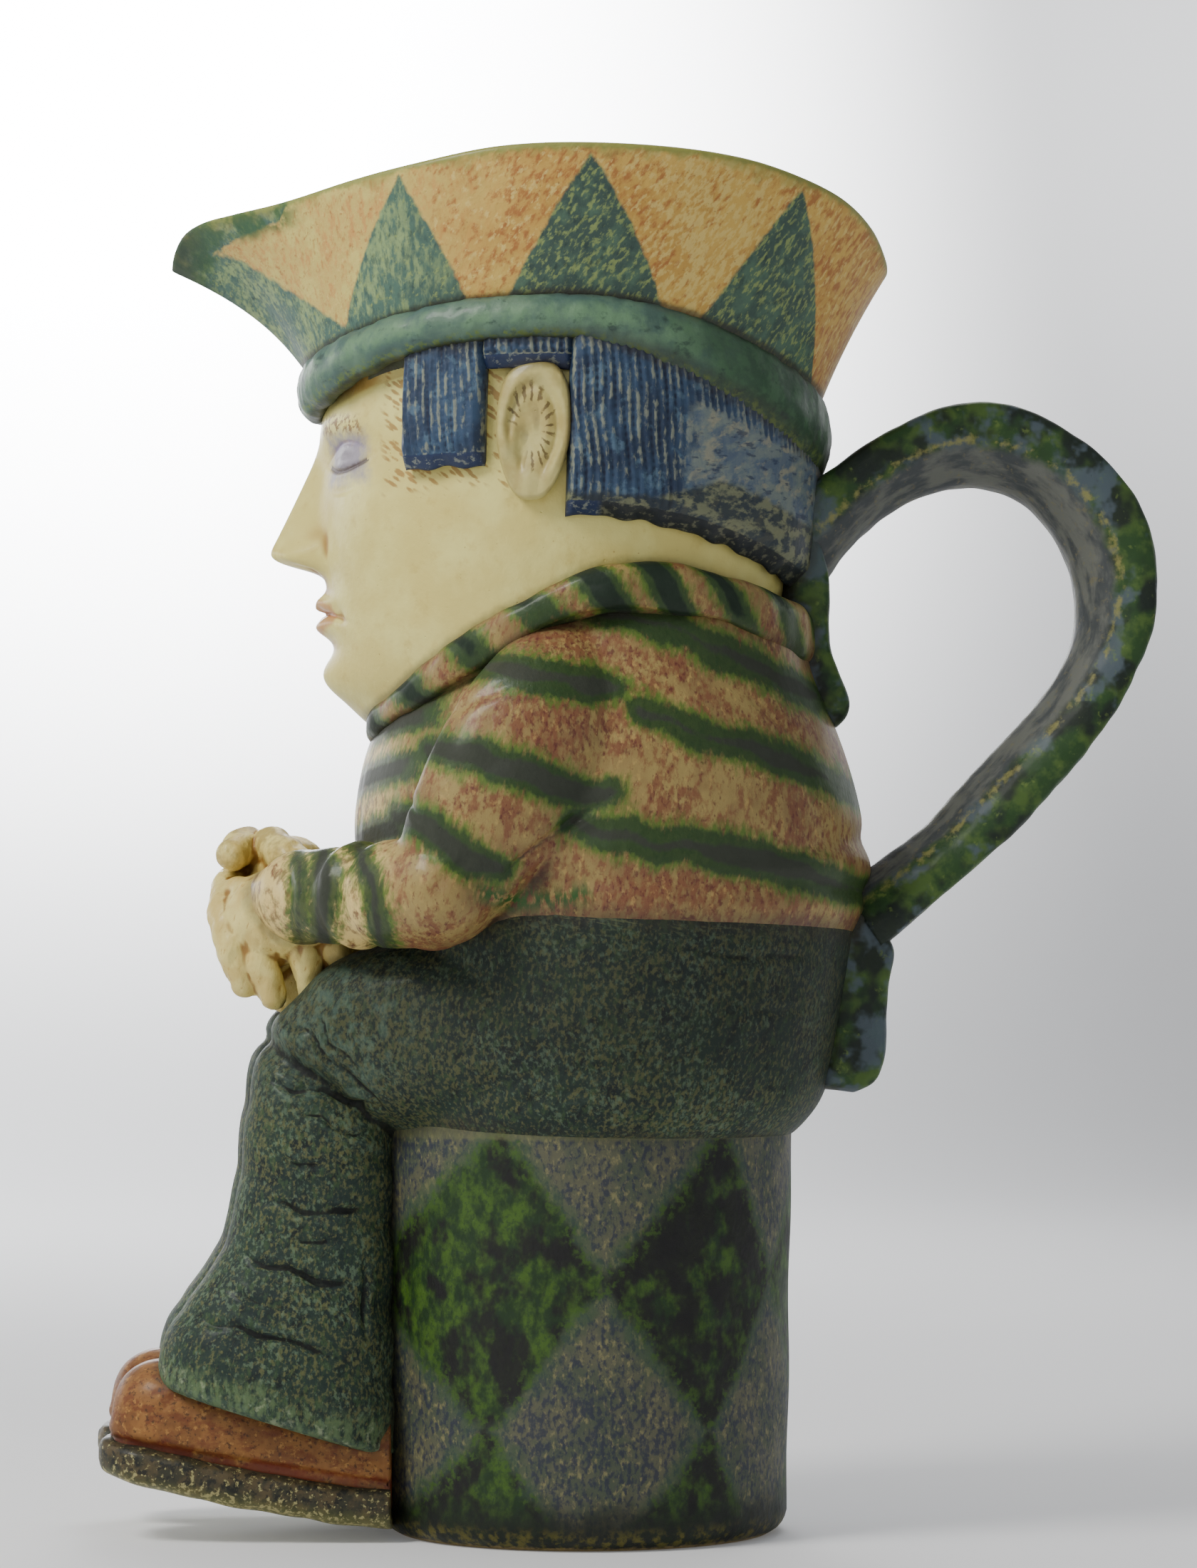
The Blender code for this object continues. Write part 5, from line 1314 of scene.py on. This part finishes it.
def ear_shell(side):
    """Rings from the ear's middle out over its relief, round its edge and in to the head. Their
    outline is a squared oval: the sine and cosine to a power under one, narrower below."""
    a = turn(150)
    tall, wide = EAR_HEIGHT / 2, EAR_HALF_WIDTH
    round_back, round_up = squared(np.cos(a), 0.68), squared(np.sin(a), 0.74)
    rings = []
    edge = [(1.0, -0.3), (1.04, -1.0), (1.03, -2.0), (0.97, -3.2), (0.88, -5.0), (0.80, -7.5)]
    for way, drop in [(w, 0) for w in np.linspace(0.02, 0.97, 58)] + edge:
        back, up = way * round_back, way * round_up
        narrow = 1 - 0.30 * np.clip(-up, 0, 1) ** 1.3
        y = EAR_BACK + wide * back * narrow + 0.06 * wide * up
        z = SEAT + EAR_UP + tall * up
        flat = min(way, 0.97)
        proud = ear_relief(flat * round_back, flat * round_up)
        x = (43.4 + proud * (1 if drop > -4 else 0.4) + drop + 1.4 * back) * MM
        rings.append(np.stack([side * x, y, z], -1))
    return outside(rings)


points, faces = pair(ear_shell)
back = (points[:, 1] - EAR_BACK) / EAR_HALF_WIDTH
up = (points[:, 2] - SEAT - EAR_UP) / (EAR_HEIGHT / 2)
ring = np.hypot(back + 0.08, up - 0.05)
spoke = np.arctan2(up * 1.3, back + 0.08)
open_side = np.clip(1.2 - np.abs(np.angle(np.exp(1j * (spoke - 3.7)))), 0, 1)


def ear_glaze():
    """Ivory as the face is, with an open ring of short brown strokes that run out from the middle."""
    g = Glaze("ear glaze", 0.42, 0.2)
    g.shade = g.lay((188, 177, 112), (172, 156, 94), g.over(g.cloud(6), 0.38, 0.62))
    g.paint((120, 92, 50), g.over(g.mark("hollow"), 0.08, 0.30, 0.7))
    rays = g.sum(g.times(g.mark("spoke"), 19.0), g.times(g.cloud(4.0, 3), 9.0))
    rays = g.ragged(g.sum(rays, 0.0, "SINE"), g.cloud(1.3, 3), 2.6)
    ring = g.edge("ring", 0.5, 1.8, 3, shift=3.0)
    ring = g.times(g.over(ring, 0.36, 0.44), g.over(ring, 0.72, 0.60))
    ring = g.times(ring, g.over(g.mark("open"), 0.6, 0.2))
    g.paint((92, 74, 42), g.times(g.over(rays, 0.10, 0.70, 0.85), ring))
    return g.fire()


piece("ears", points, faces, [ear_glaze()], {"ring": ring, "spoke": spoke, "open": open_side}, 6)


# The hair
# Slabs of clay pressed round the back of the head and before each ear, cropped square below. Every
# lock is a stroke cut with a fine loop tool, and blue glaze was wiped off the ridges between.

HAIR_THICKNESS = 5 * MM
STROKE_PITCH = 1.6  # millimetres from stroke to stroke
STROKE_DEPTH = 0.62 * MM
STROKES = 211  # that differ, before they come round again
HAIR_RADIUS = 49  # millimetres, from the middle of the head
LEDGE = -0.4  # stands for a cut on the ledge under the hair, where there are no strokes


def combed(across, up, seed, plain=None):
    """Depth of the cut strokes: a rounded saw across them, let in and out along each stroke by a
    slow wave of its own. plain leaves out a share of the strokes at a place."""
    pick = np.random.default_rng(seed)
    phase = across / STROKE_PITCH + 0.75 * np.sin(up / 11.0) + 0.12 * np.sin(up / 3.1 + across / 7)
    number = np.floor(phase).astype(int) % STROKES
    spans = ((0, 6.28), (0.2, 0.5), (0.75, 1.05))
    start, speed, force = (pick.uniform(low, high, STROKES) for low, high in spans)
    valley = 1 - np.abs((phase % 1) * 2 - 1) ** 1.5
    along = 0.84 + 0.16 * np.sin(up * speed[number] + start[number])
    notch = 0.10 * np.sin(up * 4.2 + 2.0 * np.sin(across * 0.9))
    depth = valley * (along * force[number] + notch)
    return depth if plain is None else depth * (1 - plain)


def slab(low, high, angles, thick, steps, plain=None, seed=1):
    """A thick patch on the head between two outlines, and how deep its strokes are cut. Its lower
    edge is a ledge, and its back lies in the head's wall."""
    share = np.linspace(0, 1, steps)[:, None]
    z = low + (high - low) * share
    a = angles + 0 * z
    across = np.cumsum(np.concatenate([[0], np.diff(angles)])) * HAIR_RADIUS
    shade = None if plain is None else plain(a, share)
    cut = combed(across + 0 * z, z, seed, shade)
    ends = np.clip(np.minimum(angles - angles[0], angles[-1] - angles) / math.radians(1.6), 0, 1) ** 0.5
    lip = np.clip(share * steps / 4, 0, 1) ** 0.5
    proud = thick * (0.25 + 0.75 * ends) * (0.86 + 0.14 * lip) - STROKE_DEPTH * cut * ends
    outer = on_wall(on_head(a, z, proud), only_inside=True)
    ledge = np.linspace(0.0, 1.0, 9)[:, None]
    edge = 0.7 * np.sin(angles * 31) + 0.5 * np.sin(angles * 47 + 1)
    drop = (3.1 + 0.35 * edge) * (1 - ledge) ** 0.8
    below = on_head(a[:1] + 0 * ledge, z[:1] - drop, thick * (0.30 + 0.56 * ledge) * (0.3 + 0.7 * ends))
    inner = on_wall(on_head(a, z, -2.0 * MM)[::-6], only_inside=True)
    section = np.concatenate([below[:-1], outer, inner])
    wide = len(angles)
    marks = np.concatenate([np.full((len(below) - 1, wide), LEDGE), cut, np.zeros((len(inner), wide))])
    points, faces = closed(section.transpose(1, 0, 2))
    return points, faces, np.concatenate([marks.T.ravel(), [0, 0]])


def wiped(a, share):
    """1 where the hair at the back is plain: past an angle on either side, except near the band."""
    behind = np.clip((np.minimum(a, math.pi - a) - math.radians(25)) / math.radians(4), 0, 1)
    return behind * np.clip((0.80 - share) / 0.12, 0, 1) * 0.92


def hair_foot(behind):
    """Height of the back hair's lower edge: a level, less a power of the share of the way behind."""
    return 122.8 - 11.8 * behind**2.2


# The locks before the ear: first and last degree, lower and upper edge, share of the thickness, seed.
FRONT_LOCKS = ((-38, -17, 132.4, 155.5, 0.7, 3), (-18, 3, 151.2, 158.0, 0.8, 5))
around = np.linspace(math.radians(2), math.radians(178), 420)
behind = np.clip(np.sin(around), 0, 1)
patches = [slab(hair_foot(behind), 160 - 20 * behind, around, HAIR_THICKNESS, 80, wiped)]
for side in (1, -1):
    for start, end, low, high, thick, seed in FRONT_LOCKS:
        angle = np.radians(np.linspace(start, end, 56))
        if side < 0:
            angle = math.pi - angle[::-1]
        low, high = low + 0 * angle, high + 0 * angle
        patches.append(slab(low, high, angle, HAIR_THICKNESS * thick, 44, None, seed))
points, faces, _ = together(patches)
cuts = np.concatenate([patch[2] for patch in patches])
turned = np.degrees(np.arcsin(np.clip(points[:, 1] / np.hypot(points[:, 0], points[:, 1]), -1, 1)))


def hair_glaze():
    """Cobalt, deep in the strokes and wiped to cream on the ridges, fading behind to a mottled
    blue-grey with level scratches. Its lower edge is dark, speckled with cream, and wide behind."""
    g = Glaze("hair glaze", 0.46)
    g.shade = g.lay((50, 70, 94), (38, 53, 75), g.over(g.cloud(8, 3, shift=1.0), 0.40, 0.60))
    g.paint((76, 100, 118), g.over(g.cloud(3.6, 4, shift=2.0), 0.54, 0.66, 0.8))
    broken = g.over(g.sum(g.cloud(1.5, 4, (1, 1, 1.8), shift=6.0), g.cloud(9, 3, shift=9.0)), 0.94, 1.12)
    ridge = g.over(g.edge("cut", 0.9, 0.9, 4, (1, 1, 2.0)), 0.46, 0.20)
    g.paint((138, 142, 120), g.times(g.times(ridge, broken), 0.70))
    g.paint((18, 25, 48), g.over(g.mark("cut"), 0.60, 0.92, 0.8))
    rear = g.over(g.edge("turned", 16.0, 4, 4), 20, 30, 0.85)
    rear = g.times(rear, g.over(g.mark("cut"), 0.30, 0.10))
    plain = g.over(g.cloud(6, 4, (1, 1, 0.5), (-25, 0, 0)), 0.42, 0.58)
    plain = g.lay((112, 123, 118), (82, 97, 113), plain)
    level = g.cloud(2.2, 5, (1.8, 1.8, 1), (-25, 0, 0), 4.0)
    plain = g.lay(plain, (146, 144, 120), g.over(level, 0.50, 0.64, 0.85))
    plain = g.lay(plain, (38, 48, 74), g.over(g.cloud(1.5, 4, (3, 3, 1), shift=8.0), 0.55, 0.66, 0.8))
    g.paint(plain, rear)
    mottled = g.over(g.cloud(2.4, 5, (1.8, 1.8, 1), shift=2.0), 0.46, 0.58, 0.85)
    mottled = g.lay((34, 42, 46), (124, 126, 90), mottled)
    wide = g.sum(g.over(g.mark("turned"), 14, 40, 7.0), 1.0)
    foot = g.less(g.edge("above", 3.0, 3.5, 4), wide)
    g.paint(mottled, g.over(foot, 0.8, -0.8, 0.85))
    ledge = g.over(g.mark("cut"), -0.1, -0.3)
    grey = g.over(g.cloud(1.1, 4, (1.6, 1.6, 1), shift=5.0), 0.52, 0.64, 0.7)
    grey = g.lay((24, 30, 34), (104, 104, 82), grey)
    blue = g.over(g.cloud(1.0, 4, (1.6, 1.6, 1), shift=7.0), 0.54, 0.64, 0.7)
    blue = g.lay((26, 42, 74), (128, 134, 120), blue)
    under = g.lay(blue, grey, g.over(g.mark("turned"), 3, 5))
    g.paint(under, g.times(ledge, 0.95))
    return g.fire()


above = (points[:, 2] - SEAT) / MM - hair_foot(np.clip(np.sin(np.radians(turned)), 0, 1))
piece("hair", points, faces, [hair_glaze()], {"cut": cuts, "turned": turned, "above": above}, 4)


# The hat band
# A roll of clay pressed over the join between the head and the hat. At the back it was smoothed
# upwards, and there its blue-green glaze runs into the hat's.

BAND_OUT = 4.2  # how far the roll stands out and in, in millimetres
BAND_IN = 2.4
a = turn(300)
top, bottom = hat_edges(a)
out = np.stack([np.cos(a), np.sin(a), 0 * a], -1)
b = turn(48)[:, None, None]
high = (top - bottom)[:, None] / 2
inner = (1 - np.cos(b)) / 2
rim_over = hat_wall(a, 1.0)[:, 2:] - hat_wall(a, 0.0)[:, 2:]
lean = hat_wall(a, np.clip(high * np.sin(b) * MM / rim_over, 0, 1)[..., 0]) - hat_wall(a, 0.0)
rings = hat_wall(a, 0.0) + inner * lean * [1, 1, 0]
thick = np.where(np.cos(b) > 0, BAND_OUT, BAND_IN) * np.cos(b) + 0.6
rings = rings + (thick * out + high * np.sin(b) * [0, 0, 1]) * MM
points, faces = closed(rings.transpose(1, 0, 2), wrap=True)
points = moved(points, faces, -0.2 * sway(points, 8 * MM, 12) - 0.12 * sway(points, 3 * MM, 13))
spin = np.repeat(a, b.size)
section = np.tile(np.sin(b).ravel(), a.size)


def band_glaze():
    """Blue-green, paler where the roll catches the light, with lime flecks at its lower edge. At the
    back it runs into the dark green of the hat."""
    g = Glaze("band glaze", 0.46, 0.1)
    g.shade = g.lay((86, 112, 93), (69, 93, 86), g.over(g.cloud(9, 3, (1, 1, 0.5)), 0.38, 0.62))
    crown = g.over(g.edge("crown", 0.7, 4, 4), 0.75, 0.15)
    g.paint((97, 129, 98), g.times(crown, g.over(g.cloud(5, 4, shift=4.0), 0.36, 0.60)))
    behind = g.over(g.edge("behind", 0.5, 6, 4), 0.25, 0.75)
    dark = g.lay((46, 73, 52), (61, 92, 64), g.over(g.cloud(3, 4), 0.42, 0.62))
    g.paint(dark, behind)
    g.paint((41, 57, 54), g.over(g.cloud(2.6, 4, (1.6, 1.6, 1), shift=7.0), 0.56, 0.70, 0.7))
    low = g.over(g.edge("section", 0.6, 2.5, 4), -0.52, -0.82)
    g.paint((102, 123, 59), g.times(low, g.over(g.cloud(1.3, 4, shift=2.0), 0.44, 0.60)))
    g.paint((25, 32, 30), g.over(g.mark("section"), -0.80, -0.97, 0.8))
    return g.fire()


marks = {"section": section, "crown": np.abs(section - 0.1), "behind": np.sin(spin)}
piece("hat_band", points, faces, [band_glaze()], marks)


# The handle
# A strap pulled by hand, broad outside and keeled inside, luted under the hat and to the small of
# the back, where its tails were pressed flat.

HANDLE_WIDTH = 23 * MM
HANDLE_KEEL = 12 * MM


def strap(outer, inner, outer_width, inner_width, steps, sides, corner=0.0):
    """A strap hung between two outlines, smoothed along their run. Its section is a smooth closed
    curve through twelve corners, each a share of the depth from outside and a half width: flat
    outside, straight at the sides, and a round keel. corner rounds its last end off."""
    knots = np.arange(len(outer))
    at = np.linspace(0, len(outer) - 1, steps)
    reach = int(0.6 * steps / len(outer))
    weight = np.hanning(2 * reach + 3)[1:-1] / np.hanning(2 * reach + 3).sum()
    lines = []
    for line in (outer, inner):
        line = through(knots, np.array(line, float), at)
        before, after = 2 * line[:1] - line[reach:0:-1], 2 * line[-1:] - line[-2 : -reach - 2 : -1]
        line = np.concatenate([before, line, after])
        lines.append(np.stack([np.convolve(v, weight, "valid") for v in line.T], -1) * MM)
    out, into = lines
    outer_half, inner_half = outer_width / 2, inner_width / 2
    side = [(0.01, 0.80 * outer_half), (0.11, outer_half), (0.38, outer_half),
            (0.72, 0.45 * outer_half + 0.55 * inner_half), (0.95, 0.7 * inner_half)]
    table = np.array([(0.0, 0.0)] + side + [(1.0, 0.0)] + [(d, -h) for d, h in side[::-1]])
    around = np.linspace(0, 12, sides, endpoint=False)
    depth, half = through(np.arange(-2, 15), np.take(table, np.arange(-2, 15) % 12, axis=0), around).T
    middle = (out + into) / 2
    left = np.linalg.norm(np.diff(middle, axis=0, append=middle[-1:]), axis=1)[::-1].cumsum()[::-1]
    round_off = 1.0
    if corner:
        round_off = 0.45 + 0.55 * np.sqrt(1 - (1 - np.clip(left / corner, 0, 1)) ** 2)[:, None]
    yz = out[:, None] + (into - out)[:, None] * depth[None, :, None]
    rings = np.stack([half * round_off + 0 * yz[..., 0], yz[..., 0], yz[..., 1] + SEAT], -1)
    points, faces = outside(rings)
    return points, faces, np.concatenate([np.tile(depth, steps), [0.5, 0.5]])


# Outer and inner outlines in side view, in millimetres above the seat: the strap's, and those of
# its tails at the nape and at the waist.
outer = [
    (44.8, 129.2), (57.7, 138.2), (71.9, 145.2), (86.2, 146.1), (100.5, 139), (107.8, 132),
    (112.8, 124.8), (115.3, 116.6), (115.9, 107.7), (114.6, 99.2), (110.9, 90.4),
    (105.3, 80.7), (96.7, 70.1), (86.2, 58.7), (75.5, 49.4), (68.3, 43), (60, 36),
]
inner = [
    (47, 107), (54.5, 117.8), (66, 126.8), (78.1, 129.9), (88, 127.5), (93.2, 122.8),
    (96.7, 117.6), (98.9, 112), (99.8, 106.4), (99.6, 100), (97.2, 93),
    (91.2, 84.6), (84, 76.8), (76.6, 69), (68.6, 60.2), (60.4, 54.4), (52, 48),
]
nape_outer = [
    (43, 126), (46.5, 121), (49.5, 112), (49.5, 104), (49.8, 97), (51.8, 91), (53.7, 86),
    (53.2, 83), (51.4, 81.0),
]
nape_inner = [
    (36, 122), (38, 117), (39, 110), (39, 104), (39, 97), (42, 90), (45.5, 84.5),
    (48, 81.6), (50.2, 80.6),
]
waist_outer = [
    (50, 47), (56, 43), (62.6, 36.6), (61.6, 29), (60.8, 21), (60.8, 15), (58.8, 9.5), (54.5, 7.0),
]
waist_inner = [(44, 48), (46, 44), (46, 36), (46, 29), (46, 21), (46, 15), (45.5, 10), (45.5, 8.0)]
tail = HANDLE_WIDTH * 0.9
steps, sides = 250, 72
parts = [
    strap(outer, inner, HANDLE_WIDTH, HANDLE_KEEL, steps, sides),
    strap(nape_outer, nape_inner, tail, HANDLE_WIDTH * 0.8, 90, 64, 6 * MM),
    strap(waist_outer, waist_inner, tail * 1.05, tail, 90, 64, 6 * MM),
]
points, faces, start = together(parts)
depth = np.concatenate([part[2] for part in parts])
along = np.clip(np.repeat(np.linspace(0, 1, steps), sides) / 0.35 - 1.3, 0, 1)
depth[: len(along)] -= 0.17 * along
depth[start[1] :] = 0.34  # the tails are glazed as the strap's sides are
points = moved(points, faces, -0.16 * sway(points, 14 * MM, 15) - 0.07 * sway(points, 5 * MM, 16))


def handle_glaze():
    """Sap green and near black in big soft patches, with blue-grey between. The inner face is grey,
    and the corner between the two is worn to broken yellow-green."""
    g = Glaze("handle glaze", 0.56, 0.04)
    g.shade = g.lay((42, 70, 34), (72, 96, 44), g.over(g.cloud(4.5, 3), 0.40, 0.62))
    g.paint((26, 34, 30), g.over(g.cloud(9, 2.5, shift=1.0), 0.42, 0.58, 0.92))
    blue = g.sum(g.cloud(8, 3, shift=6.0), g.over(g.mark("depth"), 0.10, 0.40, 0.10))
    g.paint((80, 92, 100), g.over(g.ragged(blue, g.cloud(1.8, 5), 0.10), 0.57, 0.70, 0.80))
    g.paint((104, 124, 58), g.over(g.cloud(2.6, 4, shift=9.0), 0.60, 0.72, 0.6))
    inside = g.over(g.edge("depth", 0.12, 3, 4), 0.48, 0.62)
    pulled = g.cloud(2.4, 4, (1, 4, 4), shift=5.0)
    grey = g.lay((104, 106, 99), (70, 74, 75), g.over(pulled, 0.40, 0.62))
    grey = g.lay(grey, (118, 112, 84), g.over(g.cloud(1.5, 4, shift=3.0), 0.56, 0.70, 0.6))
    g.paint(grey, inside)
    gap = g.sum(g.less(g.mark("depth"), 0.48), 0.0, "ABSOLUTE")
    worn = g.over(g.ragged(gap, g.cloud(1.4, 5), 0.20), 0.07, 0.0)
    g.paint((142, 138, 78), g.times(worn, g.over(g.cloud(3.2, 4, shift=4.0), 0.44, 0.60, 0.75)))
    return g.fire()


piece("handle", points, faces, [handle_glaze()], {"depth": depth})


# The dark joins
# Where one piece of clay meets the next, glaze gathered in the angle and fired darker. Each point
# is marked with how much of the other pieces lies round it.

CELL = 1.3 * MM


def crowding(skins):
    """For each piece, how much of other pieces lies near each point: a cell that holds a point of
    another piece counts as 1, and along each axis in turn a cell becomes the sum of itself and its
    two neighbours over 2.2."""
    low = np.min([points.min(0) for _, points, _ in skins], axis=0) - 5 * CELL
    high = np.max([points.max(0) for _, points, _ in skins], axis=0)
    shape = ((high - low) / CELL).astype(int) + 6
    cells = [tuple(((points - low) / CELL).astype(int).T) for _, points, _ in skins]
    filled = np.zeros(shape, np.float32)
    own = [np.zeros(shape, bool) for _ in skins]
    for mine, cell in zip(own, cells):
        mine[cell] = True
        filled += mine
    shares = []
    for mine, cell in zip(own, cells):
        others = np.minimum(filled - mine, 1)
        for axis in (0, 1, 2):
            others = (others + np.roll(others, 1, axis) + np.roll(others, -1, axis)) / 2.2
        shares.append(others[cell])
    return shares


for (made, points, faces), share in zip(skins, crowding(skins)):
    share = softened(np.clip(share, 0, 2)[:, None], faces, 7)
    layer = made.data.attributes.new("join", "FLOAT", "POINT")
    layer.data.foreach_set("value", share.ravel().astype(np.float32))


# The studio
# A pale table that curves up into a pale wall all round, a soft light high on the left, a weak one
# on the right, one high behind, and the camera a metre off, a little above the figure's knees.

TABLE_REACH = 1.4
JUG_MIDDLE = 0.14
PHOTO_HEIGHT = 2201  # pixels
LENS = 6500  # focal length in those pixels


def sweep(count_out, count_round):
    """A round table: level as far as it reaches, then rising as the square of the way beyond."""
    out = np.concatenate([np.linspace(0.02, TABLE_REACH, 12), np.linspace(1.5, 3.2, count_out)])
    a = turn(count_round)
    z = np.clip(out - TABLE_REACH, 0, None) ** 2 * 0.32
    return np.stack([out[:, None] * np.cos(a), out[:, None] * np.sin(a), z[:, None] + 0 * a], -1)


rings = sweep(18, 96)
count, sides = rings.shape[:2]
corner = np.arange(count * sides).reshape(count, sides)
beside = np.roll(corner, -1, axis=1)
quads = np.stack([v.ravel() for v in (corner[:-1], corner[1:], beside[1:], beside[:-1])], -1)
table_mesh = bpy.data.meshes.new("table")
table_mesh.from_pydata(rings.reshape(-1, 3).tolist(), [], quads.tolist() + [corner[0].tolist()])
table_mesh.shade_smooth()
table = bpy.data.objects.new("table", table_mesh)
bpy.context.scene.collection.objects.link(table)
paper = bpy.data.materials.new("pale paper")
paper.use_nodes = True
tree = paper.node_tree
shader = tree.nodes["Principled BSDF"]
shader.inputs["Roughness"].default_value = 0.9
place = node(tree, "TexCoord", {}).outputs["Object"]
grain = node(tree, "TexNoise", {"Vector": place, "Scale": 3.0}).outputs["Fac"]
tones = {0: grain, 6: (0.76, 0.76, 0.77, 1), 7: (0.79, 0.79, 0.795, 1)}
tree.links.new(node(tree, "Mix", tones, data_type="RGBA").outputs[2], shader.inputs["Base Color"])
# The paper glows behind the jug, where it curves up, and more before the figure than behind it.
spot = node(tree, "SeparateXYZ", {0: place}).outputs
glow = 1.0
for axis, low, high, least, most in (
    ("Z", 0.0, 0.9, 0.30, 5.0), ("Y", -0.40, 0.40, 3.9, 0.23),
    ("Y", -1.1, -0.48, 0.25, 1.0), ("X", -0.2, -1.2, 0.12, 1.0),
):
    span = {"Value": spot[axis], "From Min": low, "From Max": high, "To Min": least, "To Max": most}
    part = node(tree, "MapRange", span, interpolation_type="SMOOTHSTEP").outputs[0]
    glow = node(tree, "Math", {0: glow, 1: part}, operation="MULTIPLY").outputs[0]
shader.inputs["Emission Color"].default_value = (0.97, 0.98, 1.0, 1)
tree.links.new(glow, shader.inputs["Emission Strength"])
table_mesh.materials.append(paper)

world = bpy.data.worlds.new("studio")
world.use_nodes = True
world.node_tree.nodes["Background"].inputs[0].default_value = (0.80, 0.82, 0.85, 1)
world.node_tree.nodes["Background"].inputs[1].default_value = 0.42
bpy.context.scene.world = world


def soft_light(name, place, size, watts, tint=(1, 1, 1)):
    """A square soft light that faces the jug's middle."""
    light = bpy.data.lights.new(name, "AREA")
    light.size = size
    light.energy = watts
    light.color = tint
    lamp = bpy.data.objects.new(name, light)
    lamp.location = place
    way = np.array([0, 0, JUG_MIDDLE]) - np.array(place)
    flat = math.hypot(way[0], way[1])
    lamp.rotation_euler = (math.atan2(flat, -way[2]), 0, math.atan2(way[1], way[0]) - math.pi / 2)
    bpy.context.scene.collection.objects.link(lamp)


soft_light("key light", (0.36, -0.50, 0.72), 0.28, 6.0, (1.0, 0.98, 0.94))
soft_light("fill light", (0.9, 1.0, 0.6), 0.9, 0.6, (0.94, 0.97, 1.0))
soft_light("back light", (-0.8, 0.15, 0.95), 0.6, 5.0)

lens = bpy.data.cameras.new("camera")
lens.sensor_fit = "VERTICAL"
lens.sensor_height = 36.0
lens.sensor_width = 36.0
lens.lens = lens.sensor_height * LENS / PHOTO_HEIGHT
lens.clip_start = 0.05
camera = bpy.data.objects.new("camera", lens)
camera.location = (0.94, 0.003, 0.111)
camera.rotation_euler = (math.radians(92.4), 0, math.pi / 2)
bpy.context.scene.collection.objects.link(camera)
bpy.context.scene.camera = camera
